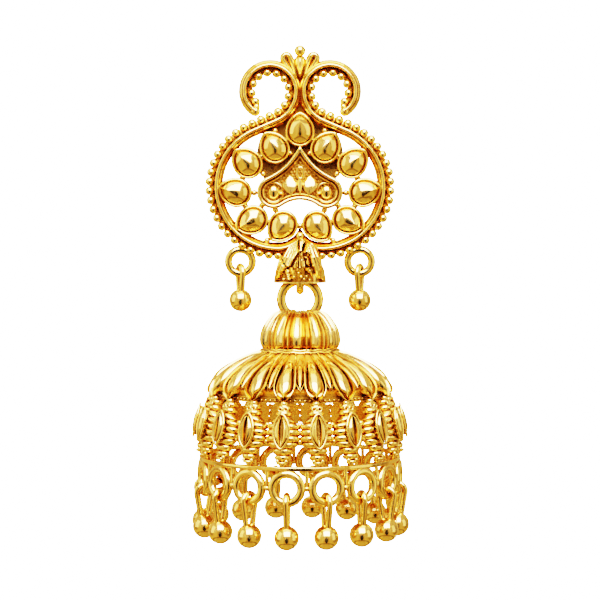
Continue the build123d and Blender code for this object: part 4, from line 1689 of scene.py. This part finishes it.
@dataclass
class Gallery:
    """The ring of ribbed spindles, each with a polished boat on it."""

    count: int = 18
    turn: float = 10.0
    top: tuple[float, float] = (10.5, -26.0)
    foot: tuple[float, float] = (12.0, -32.8)
    widths: Pairs = (
        *((0.0, 0.7), (0.08, 0.92), (0.18, 1.02), (0.26, 1.14), (0.34, 1.72), (0.42, 2.08)),
        *((0.64, 2.08), (0.74, 1.62), (0.84, 1.2), (0.94, 0.98), (1.0, 0.6)),
    )
    forward: float = 1.5
    forward_at_ends: float = 0.95
    ribs: int = 9
    rib_depth: float = 0.32
    crown_forward: float = 0.55
    crown_bead: float = 0.5
    ring_radius: float = 0.24
    ring_wire: float = 0.1
    ring_apart: float = 0.34
    foot_out: float = 0.1
    foot_below: float = 0.3
    foot_bead: float = 0.44
    side_bead: float = 0.28
    side_bead_apart: float = 0.52
    cup_radius: float = 0.5
    cup_wire: float = 0.17
    bridge_rises: tuple[float, ...] = (-0.98, 0.0, 0.98)
    bridge_bead: float = 0.34
    bridge_out: float = 0.35
    bridge_lean: float = 0.22
    boat_length: float = 3.75
    boat_half_width: float = 0.84
    boat_seat: float = 1.66
    boat_depth: float = 0.6
    boat_rim: float = 0.15
    boat_face: Pairs = (
        *((0.0, -0.12), (0.14, -0.1), (0.22, 0.06), (0.27, 0.3)),
        *((0.36, 0.44), (0.5, 0.5), (0.66, 0.44), (0.84, 0.24)),
    )

    def _axes(self) -> tuple[np.ndarray, np.ndarray, np.ndarray, float]:
        """The line that a spindle follows.

        Returns:
            Its start, its direction downwards, its direction outwards and its length.
        """
        start = np.array([self.top[0], 0.0, self.top[1]])
        run = np.array([self.foot[0] - self.top[0], 0.0, self.foot[1] - self.top[1]])
        length = float(np.linalg.norm(run))
        down = run / length
        return start, down, np.array([-down[2], 0.0, down[0]]), length

    def spindles(self) -> Form:
        """Draws the ribbed bodies, flat behind.

        Returns:
            All of them, round the bell.
        """
        start, down, out, length = self._axes()
        share = np.linspace(0, 1, self.ribs * 12 + 1)
        wave = np.abs(np.sin(share * self.ribs * math.pi)) ** 0.55
        knots = smooth_line(self.widths, 6)
        reach = np.interp(share, knots[:, 0], knots[:, 1]) - self.rib_depth * (1 - wave)
        swell = (self.forward - self.forward_at_ends) * (1 - (2 * share - 1) ** 2)
        bulge = self.forward_at_ends + swell - self.rib_depth * (1 - wave)
        turns = np.radians(np.linspace(-90, 90, 41))
        rows = []
        for s, r, deep in zip(share, reach, bulge):
            across, forward = r * np.sin(turns), deep * np.cos(turns) ** 0.8
            rows.append(start + down * s * length + np.outer(across, Y_AXIS) + np.outer(forward, out))
        one = Form()
        one.solid(np.array(rows))
        return one.around(self.count, FRONT + self.turn)

    def spindle_tips(self) -> Form:
        """Draws the small beads and rings above each spindle, and the cup and beads below it.

        Returns:
            All of them, round the bell.
        """
        start, down, out, _ = self._axes()
        one = Form()
        crown = start + out * self.crown_forward
        one.ball(crown + down * 0.05, self.crown_bead, 2)
        for side in (Y_AXIS, -Y_AXIS):
            middle = crown + side * self.ring_apart + down * 0.75 + out * 0.5
            one.closed(torus(middle, Y_AXIS, down, self.ring_radius, self.ring_wire))
        foot = np.array([self.foot[0] + self.foot_out, 0, self.foot[1] - self.foot_below])
        one.ball(foot + out * 0.1, self.foot_bead, 3)
        for side in (Y_AXIS, -Y_AXIS):
            one.ball(foot + side * self.side_bead_apart + out * 0.55 - down * 0.35, self.side_bead, 2)
        one.closed(torus(foot + out * 0.35 - down * 0.12, Y_AXIS, out, self.cup_radius, self.cup_wire))
        return one.around(self.count, FRONT + self.turn)

    def bridges(self) -> Form:
        """Draws the small grains that join neighbouring spindles at their widest.

        Returns:
            All of them, round the bell.
        """
        one = Form()
        reach = (self.top[0] + self.foot[0]) / 2 + self.bridge_out
        middle = (self.top[1] + self.foot[1]) / 2
        for rise in self.bridge_rises:
            one.ball(np.array([reach - self.bridge_lean * rise, 0.0, middle + rise]), self.bridge_bead, 2)
        return one.around(self.count, FRONT + self.turn + 180 / self.count)

    def boats(self) -> Form:
        """Draws the smooth boats and the raised rims round them.

        Returns:
            All of them, round the bell.
        """
        start, down, out, length = self._axes()
        seat = start + down * length / 2 + out * self.boat_seat
        half_length = self.boat_length / 2
        section = np.array([(-a, h) for a, h in self.boat_face[::-1][:-1]] + list(self.boat_face))
        rows = []
        for s in np.linspace(-1, 1, 33):
            swell = max(0.02, 1 - abs(s) ** 2.2)
            across, lift = section[:, 0] * swell, section[:, 1] * swell**0.6
            middle = seat + down * s * half_length
            face = middle + np.outer(across, Y_AXIS) + np.outer(lift, out)
            back = middle + np.outer(across[::-1] * 0.9, Y_AXIS) - out * self.boat_depth
            rows.append(np.concatenate([face, back]))
        one = Form()
        one.solid(np.array(rows))
        turn = full_turn(56)
        wave = np.sign(np.sin(turn)) * np.abs(np.sin(turn)) ** 1.3
        path = seat + np.outer((half_length + 0.2) * np.cos(turn), down)
        path = path + np.outer((self.boat_half_width + 0.1) * wave, Y_AXIS) + out * 0.08
        one.closed(tube(path, self.boat_rim, 10, closed=True))
        return one.around(self.count, FRONT + self.turn)


@dataclass
class RingRow:
    """The rim line and the row of loops under it."""

    count: int = 16
    turn: float = -7.5
    circle: float = 12.25
    radius: float = 1.76
    wire: float = 0.53
    up: float = -35.95
    rim: tuple[float, float] = (12.2, -33.6)
    rim_half_width: float = 0.4
    rim_half_height: float = 0.26
    rim_corner: float = 0.12
    nub_out: float = 0.1
    nub_radius: float = 0.38
    strut_wire: float = 0.24

    def rim_line(self) -> Form:
        """Draws the narrow band between the gallery and the loops.

        Returns:
            The band, with its corners rounded.
        """
        wide, high = self.rim_half_width - self.rim_corner, self.rim_half_height - self.rim_corner
        section = []
        for across, up, begin in ((1, -1, -90), (1, 1, 0), (-1, 1, 90), (-1, -1, 180)):
            middle = (self.rim[0] + across * wide, self.rim[1] + up * high)
            section.append(arc(middle, self.rim_corner, begin, 90, 3))
        reach, level = np.concatenate(section).T[:, :, None]
        turn = full_turn(192)
        form = Form()
        form.closed(np.stack([reach * np.cos(turn), reach * np.sin(turn), level + 0 * turn], -1))
        return form

    def loops(self) -> Form:
        """Draws the round loops, facing outwards.

        Returns:
            All of them, round the bell.
        """
        one = Form()
        one.closed(torus(np.array([self.circle, 0, self.up]), Y_AXIS, Z_AXIS, self.radius, self.wire))
        return one.around(self.count, FRONT + self.turn)

    def struts(self) -> Form:
        """Draws the nubs between neighbouring loops and the struts up to the rim line.

        Returns:
            All of them, round the bell.
        """
        one = Form()
        reach = self.circle + self.nub_out
        one.ball(np.array([reach, 0, self.up]), self.nub_radius, 2)
        one.wire(np.array([[reach, 0, self.up], [reach, 0, self.rim[1]]]), self.strut_wire, 12)
        return one.around(self.count, FRONT + self.turn + 180 / self.count)


@dataclass
class JhumkaBell:
    """The whole soldered bell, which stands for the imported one."""

    ring: HangRing = field(default_factory=HangRing)
    crown: Crown = field(default_factory=Crown)
    dome: Dome = field(default_factory=Dome)
    gallery: Gallery = field(default_factory=Gallery)
    row: RingRow = field(default_factory=RingRow)
    body: str = "bell"

    def build(self, shop: Workshop) -> None:
        """Makes every piece of the bell.

        Args:
            shop: the workshop that finishes them.
        """
        pieces = (
            ("bell_ring", self.ring.form(), Finish.POLISHED),
            ("bell_crown", self.crown.form(), Finish.CAST),
            ("bell_dome_shell", self.dome.shell(), Finish.SHADED),
            ("bell_petals", self.dome.petal_ring(), Finish.GROOVED),
            ("bell_between_leaves", self.dome.between_ring(), Finish.CAST),
            ("bell_collar", self.dome.collar_line(), Finish.CAST),
            ("bell_spindles", self.gallery.spindles(), Finish.CAST),
            ("bell_spindle_tips", self.gallery.spindle_tips(), Finish.CAST),
            ("bell_bridges", self.gallery.bridges(), Finish.CAST),
            ("bell_boats", self.gallery.boats(), Finish.GROOVED),
            ("bell_rim_line", self.row.rim_line(), Finish.POLISHED),
            ("bell_loops", self.row.loops(), Finish.POLISHED),
            ("bell_struts", self.row.struts(), Finish.CAST),
        )
        for name, form, finish in pieces:
            piece = shop.make(name, form, SEATS.bell, finish, self.body)
            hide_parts("jhumka_bell")


# ------------------------------------------------------------------------------------ the ball drops
@dataclass(frozen=True)
class BallDrop:
    """A wire link and the ball soldered to its legs."""

    length: float
    ball_radius: float
    wire: float = 0.37
    arch: float = 0.99
    foot: float = 0.44

    def form(self) -> Form:
        """Draws the drop.

        Returns:
            Its link and ball, hung with the middle of the link's round top at the origin.
        """
        low = -self.length + 0.6 * self.ball_radius
        top = arc((0, 0), self.arch, 180, -180, 24)
        legs = np.concatenate([[(-self.foot, low)], top, [(self.foot, low)]])
        path = np.stack([legs[:, 0], np.zeros(len(legs)), legs[:, 1]], -1)
        form = Form()
        form.wire(path, self.wire, 16)
        form.ball(np.array([0, 0, -self.length]), self.ball_radius, 4)
        return form


@dataclass
class Drops:
    """The sixteen drops under the bell and the two under the side loops."""

    row: RingRow
    cap: LeafCap
    under_bell: BallDrop = BallDrop(4.15, 1.5)
    under_side: BallDrop = BallDrop(3.3, 1.42)
    slack: float = 0.04
    step: float = 137.5
    spread: float = 16.0
    side_turn: float = 20.0

    def build(self, shop: Workshop) -> None:
        """Makes each drop in its own place.

        Args:
            shop: the workshop that finishes them.
        """
        self._row_drops(shop)
        self._side_drops(shop)

    def _row_drops(self, shop: Workshop) -> None:
        """Hangs a drop in each loop of the bell, each turned a little on its own.

        Args:
            shop: the workshop that finishes them.
        """
        one = self.under_bell.form()
        seat = np.array([self.row.circle, 0, self.row.up - self.row.radius - self.slack])
        for n in range(self.row.count):
            turn = self.spread * math.sin(math.radians(self.step * n))
            round_bell = FRONT + self.row.turn + 360 * n / self.row.count
            hung = [turn_about_up(turn_about_up(block, turn) + seat, round_bell) for block in one.points]
            drop = Form(hung, one.faces, one.count)
            piece = shop.make(f"drop_{n + 1:02d}", drop, SEATS.bell, Finish.POLISHED, "bell")
            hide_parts(f"bell_drop_{n + 1:02d}")

    def _side_drops(self, shop: Workshop) -> None:
        """Hangs a drop in each side loop of the cap.

        Args:
            shop: the workshop that finishes them.
        """
        one, cap = self.under_side.form(), self.cap
        for side, name in ((-1, "left"), (1, "right")):
            low = cap.loop_place[1] - cap.loop_radius - self.slack
            seat = np.array([side * cap.loop_place[0], cap.loop_behind, low])
            hung = [turn_about_up(block, 90 - side * self.side_turn) + seat for block in one.points]
            drop = Form(hung, one.faces, one.count)
            piece = shop.make(f"side_drop_{name}_dressed", drop, SEATS.bell, Finish.POLISHED, "stud")
            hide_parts(f"side_drop_{name}")


# ------------------------------------------------------------------------------------------ the studio
WHITE = (1.0, 1.0, 1.0)
WARM = (1.0, 0.8, 0.5)


def turned_towards(place: Vector, aim: Vector) -> Euler:
    """The turn of a lamp or camera that looks from a place at a point."""
    return (aim - place).to_track_quat("-Z", "Y").to_euler()


@dataclass(frozen=True)
class Lamp:
    """One soft oblong lamp: where it hangs, its width and height, its power and its colour."""

    name: str
    place: tuple[float, float, float]
    size: tuple[float, float]
    watts: float
    colour: tuple[float, float, float]

    def hang(self, aim: Vector) -> None:
        """Hangs the lamp.

        Args:
            aim: the point that it shines at, in metres.
        """
        data = bpy.data.lights.new(self.name, "AREA")
        data.shape, data.energy = "RECTANGLE", self.watts
        data.size, data.size_y = self.size
        data.color = self.colour
        lamp = bpy.data.objects.new(self.name, data)
        lamp.location = Vector(self.place)
        lamp.rotation_euler = turned_towards(lamp.location, aim)
        bpy.context.scene.collection.objects.link(lamp)


@dataclass
class Studio:
    """The pale floor, the soft light and the camera."""

    aim: tuple[float, float, float] = (0.0, -0.0018, -0.0176)
    distance: float = 0.25
    elevation: float = 3.0
    field_width: float = 0.075
    sensor: float = 36.0
    exposure: float = 0.7
    floor_height: float = -0.062
    floor_half: float = 6.0
    floor_bend: float = 2.0
    floor_grey: float = 0.9
    lamps: tuple[Lamp, ...] = (
        Lamp("front_top", (0.02, -0.37, 0.35), (0.52, 0.42), 3.4, WHITE),
        Lamp("left_side", (-0.5, -0.1, 0.12), (0.35, 0.5), 0.45, WARM),
        Lamp("right_side", (0.52, -0.16, 0.05), (0.3, 0.5), 0.3, WARM),
        Lamp("overhead", (0.0, -0.02, 0.46), (0.5, 0.32), 0.8, WARM),
        Lamp("back_top", (0.0, 0.34, 0.36), (0.4, 0.3), 0.3, WARM),
    )
    backdrop_level: float = 14.0
    room_tint: tuple[float, float, float] = (1.0, 0.66, 0.28)
    room_by_height: Pairs = (
        *((-1.0, 0.5), (-0.8, 0.42), (-0.76, 0.16), (-0.7, 0.16), (-0.66, 0.44)),
        *((-0.1, 0.38), (0.15, 0.38), (0.5, 0.34), (0.95, 0.3)),
    )
    room_by_side: Pairs = (
        *((-1.0, 0.45), (-0.93, 0.6), (-0.86, 1.1), (-0.5, 1.2), (-0.42, 0.85)),
        *((0.36, 0.75), (0.46, 1.0), (0.8, 0.9), (0.88, 0.5), (1.0, 0.4)),
    )
    dark_place: tuple[float, float, float] = (0.0, -1.0, -0.26)
    dark_squeeze: tuple[float, float, float] = (3.6, 0.6, 2.2)
    dark_edge: Pairs = ((0.9, 0.06), (1.0, 1.0))

    def camera(self) -> None:
        """Sets the camera at the reference view."""
        data = bpy.data.cameras.new("camera")
        camera = bpy.data.objects.new("camera", data)
        bpy.context.scene.collection.objects.link(camera)
        aim, rise = Vector(self.aim), math.radians(self.elevation)
        camera.location = aim + self.distance * Vector((0, -math.cos(rise), math.sin(rise)))
        camera.rotation_euler = turned_towards(camera.location, aim)
        data.sensor_width = self.sensor
        data.lens = data.sensor_width * self.distance / self.field_width
        data.clip_start = 0.005
        data.clip_end = 20.0
        bpy.context.scene.camera = camera

    def backdrop(self) -> None:
        """Lays the pale floor under the hanging earring and sweeps it up far behind."""
        half, bend = self.floor_half, self.floor_bend
        turn = np.linspace(0, math.pi / 2, 17)
        curve = zip(half - bend + bend * np.sin(turn), bend - bend * np.cos(turn))
        sweep = [(-half, 0.0), *curve, (half, half)]
        points = [(x, y, self.floor_height + z) for y, z in sweep for x in (-half, half)]
        faces = [(2 * n, 2 * n + 1, 2 * n + 3, 2 * n + 2) for n in range(len(sweep) - 1)]
        mesh = bpy.data.meshes.new("pale_floor")
        mesh.from_pydata(points, [], faces)
        mesh.shade_smooth()
        floor = bpy.data.objects.new("pale_floor", mesh)
        bpy.context.scene.collection.objects.link(floor)
        floor.visible_glossy = False
        paint = bpy.data.materials.new("pale_floor")
        paint.use_nodes = True
        shader = paint.node_tree.nodes["Principled BSDF"]
        shader.inputs["Base Color"].default_value = (*[self.floor_grey] * 3, 1.0)
        shader.inputs["Roughness"].default_value = 0.9
        shader.inputs["Specular IOR Level"].default_value = 0.1
        mesh.materials.append(paint)

    def light(self) -> None:
        """Hangs the soft lamps and lights the room."""
        for lamp in self.lamps:
            lamp.hang(Vector(self.aim))
        self._room()

    @staticmethod
    def _levels(value: bpy.types.NodeSocket, stops: Pairs) -> bpy.types.NodeSocket:
        """Grey levels along one direction of the room.

        Args:
            value: the direction's component, from -1 to 1.
            stops: pairs of a component and the level there.

        Returns:
            The socket that carries the level.
        """
        nodes, links = value.id_data.nodes, value.id_data.links
        place, ramp = nodes.new("ShaderNodeMapRange"), nodes.new("ShaderNodeValToRGB")
        place.inputs["From Min"].default_value = -1.0
        place.inputs["From Max"].default_value = 1.0
        points = ramp.color_ramp.elements
        while len(points) < len(stops):
            points.new(0.5)
        for point, (at, level) in zip(points, stops):
            point.position = (at + 1) / 2
            point.color = (level, level, level, 1.0)
        links.new(value, place.inputs["Value"])
        links.new(place.outputs["Result"], ramp.inputs["Fac"])
        return ramp.outputs["Color"]

    @staticmethod
    def _times(first: bpy.types.NodeSocket, second: bpy.types.NodeSocket) -> bpy.types.NodeSocket:
        """Multiplies two levels.

        Args:
            first: the socket that carries one level.
            second: the socket that carries the other.

        Returns:
            The socket that carries their product.
        """
        node = first.id_data.nodes.new("ShaderNodeMath")
        node.operation = "MULTIPLY"
        first.id_data.links.new(first, node.inputs[0])
        first.id_data.links.new(second, node.inputs[1])
        return node.outputs["Value"]

    def _room(self) -> None:
        """Paints the room that the metal mirrors: soft walls, darker gaps between them, dark in front."""
        world = bpy.data.worlds.new("room")
        bpy.context.scene.world = world
        world.use_nodes = True
        nodes, links = world.node_tree.nodes, world.node_tree.links
        background = nodes["Background"]
        place, parts = nodes.new("ShaderNodeTexCoord"), nodes.new("ShaderNodeSeparateXYZ")
        links.new(place.outputs["Generated"], parts.inputs["Vector"])
        spot, squeeze, far = (nodes.new("ShaderNodeVectorMath") for _ in range(3))
        spot.operation, squeeze.operation, far.operation = "SUBTRACT", "MULTIPLY", "LENGTH"
        spot.inputs[1].default_value = self.dark_place
        squeeze.inputs[1].default_value = self.dark_squeeze
        links.new(place.outputs["Generated"], spot.inputs[0])
        links.new(spot.outputs["Vector"], squeeze.inputs[0])
        links.new(squeeze.outputs["Vector"], far.inputs[0])
        by_height = self._levels(parts.outputs["Z"], self.room_by_height)
        by_side = self._levels(parts.outputs["X"], self.room_by_side)
        dark = self._levels(far.outputs["Value"], self.dark_edge)
        shade = self._times(self._times(by_height, by_side), dark)
        rays = nodes.new("ShaderNodeLightPath").outputs["Is Glossy Ray"]
        strength, tint = nodes.new("ShaderNodeMix"), nodes.new("ShaderNodeMix")
        strength.data_type, tint.data_type = "FLOAT", "RGBA"
        strength.inputs[2].default_value = self.backdrop_level
        tint.inputs[6].default_value = (1.0, 1.0, 1.0, 1.0)
        tint.inputs[7].default_value = (*self.room_tint, 1.0)
        links.new(rays, strength.inputs["Factor"])
        links.new(rays, tint.inputs["Factor"])
        links.new(shade, strength.inputs[3])
        links.new(strength.outputs[0], background.inputs["Strength"])
        links.new(tint.outputs[2], background.inputs["Color"])

    def build(self) -> None:
        """Sets up the whole studio."""
        self.camera()
        self.backdrop()
        self.light()
        view = bpy.context.scene.view_settings
        view.view_transform, view.look, view.exposure = "Filmic", "Very High Contrast", self.exposure


def main() -> None:
    """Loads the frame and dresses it."""
    logging.basicConfig(level=logging.INFO, format="%(name)s: %(message)s")
    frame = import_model()
    studio = Studio()
    studio.build()
    effects = Effects()
    materials = {metal.finish: metal.build(effects) for metal in FINISHES}
    shop = Workshop(materials)
    stud, bell = StudPlate(), JhumkaBell()
    stud.build(shop)
    bell.build(shop)
    Drops(bell.row, stud.cap).build(shop)
    post = frame["nodes"]["ear_post"]
    # The post and its pad take the plain back finish, whose long-reach painted shade darkens the pad's face
    # behind the plate.
    for slot in post.material_slots:
        slot.material = materials[Finish.PLAIN]


if __name__ == "__main__":
    main()
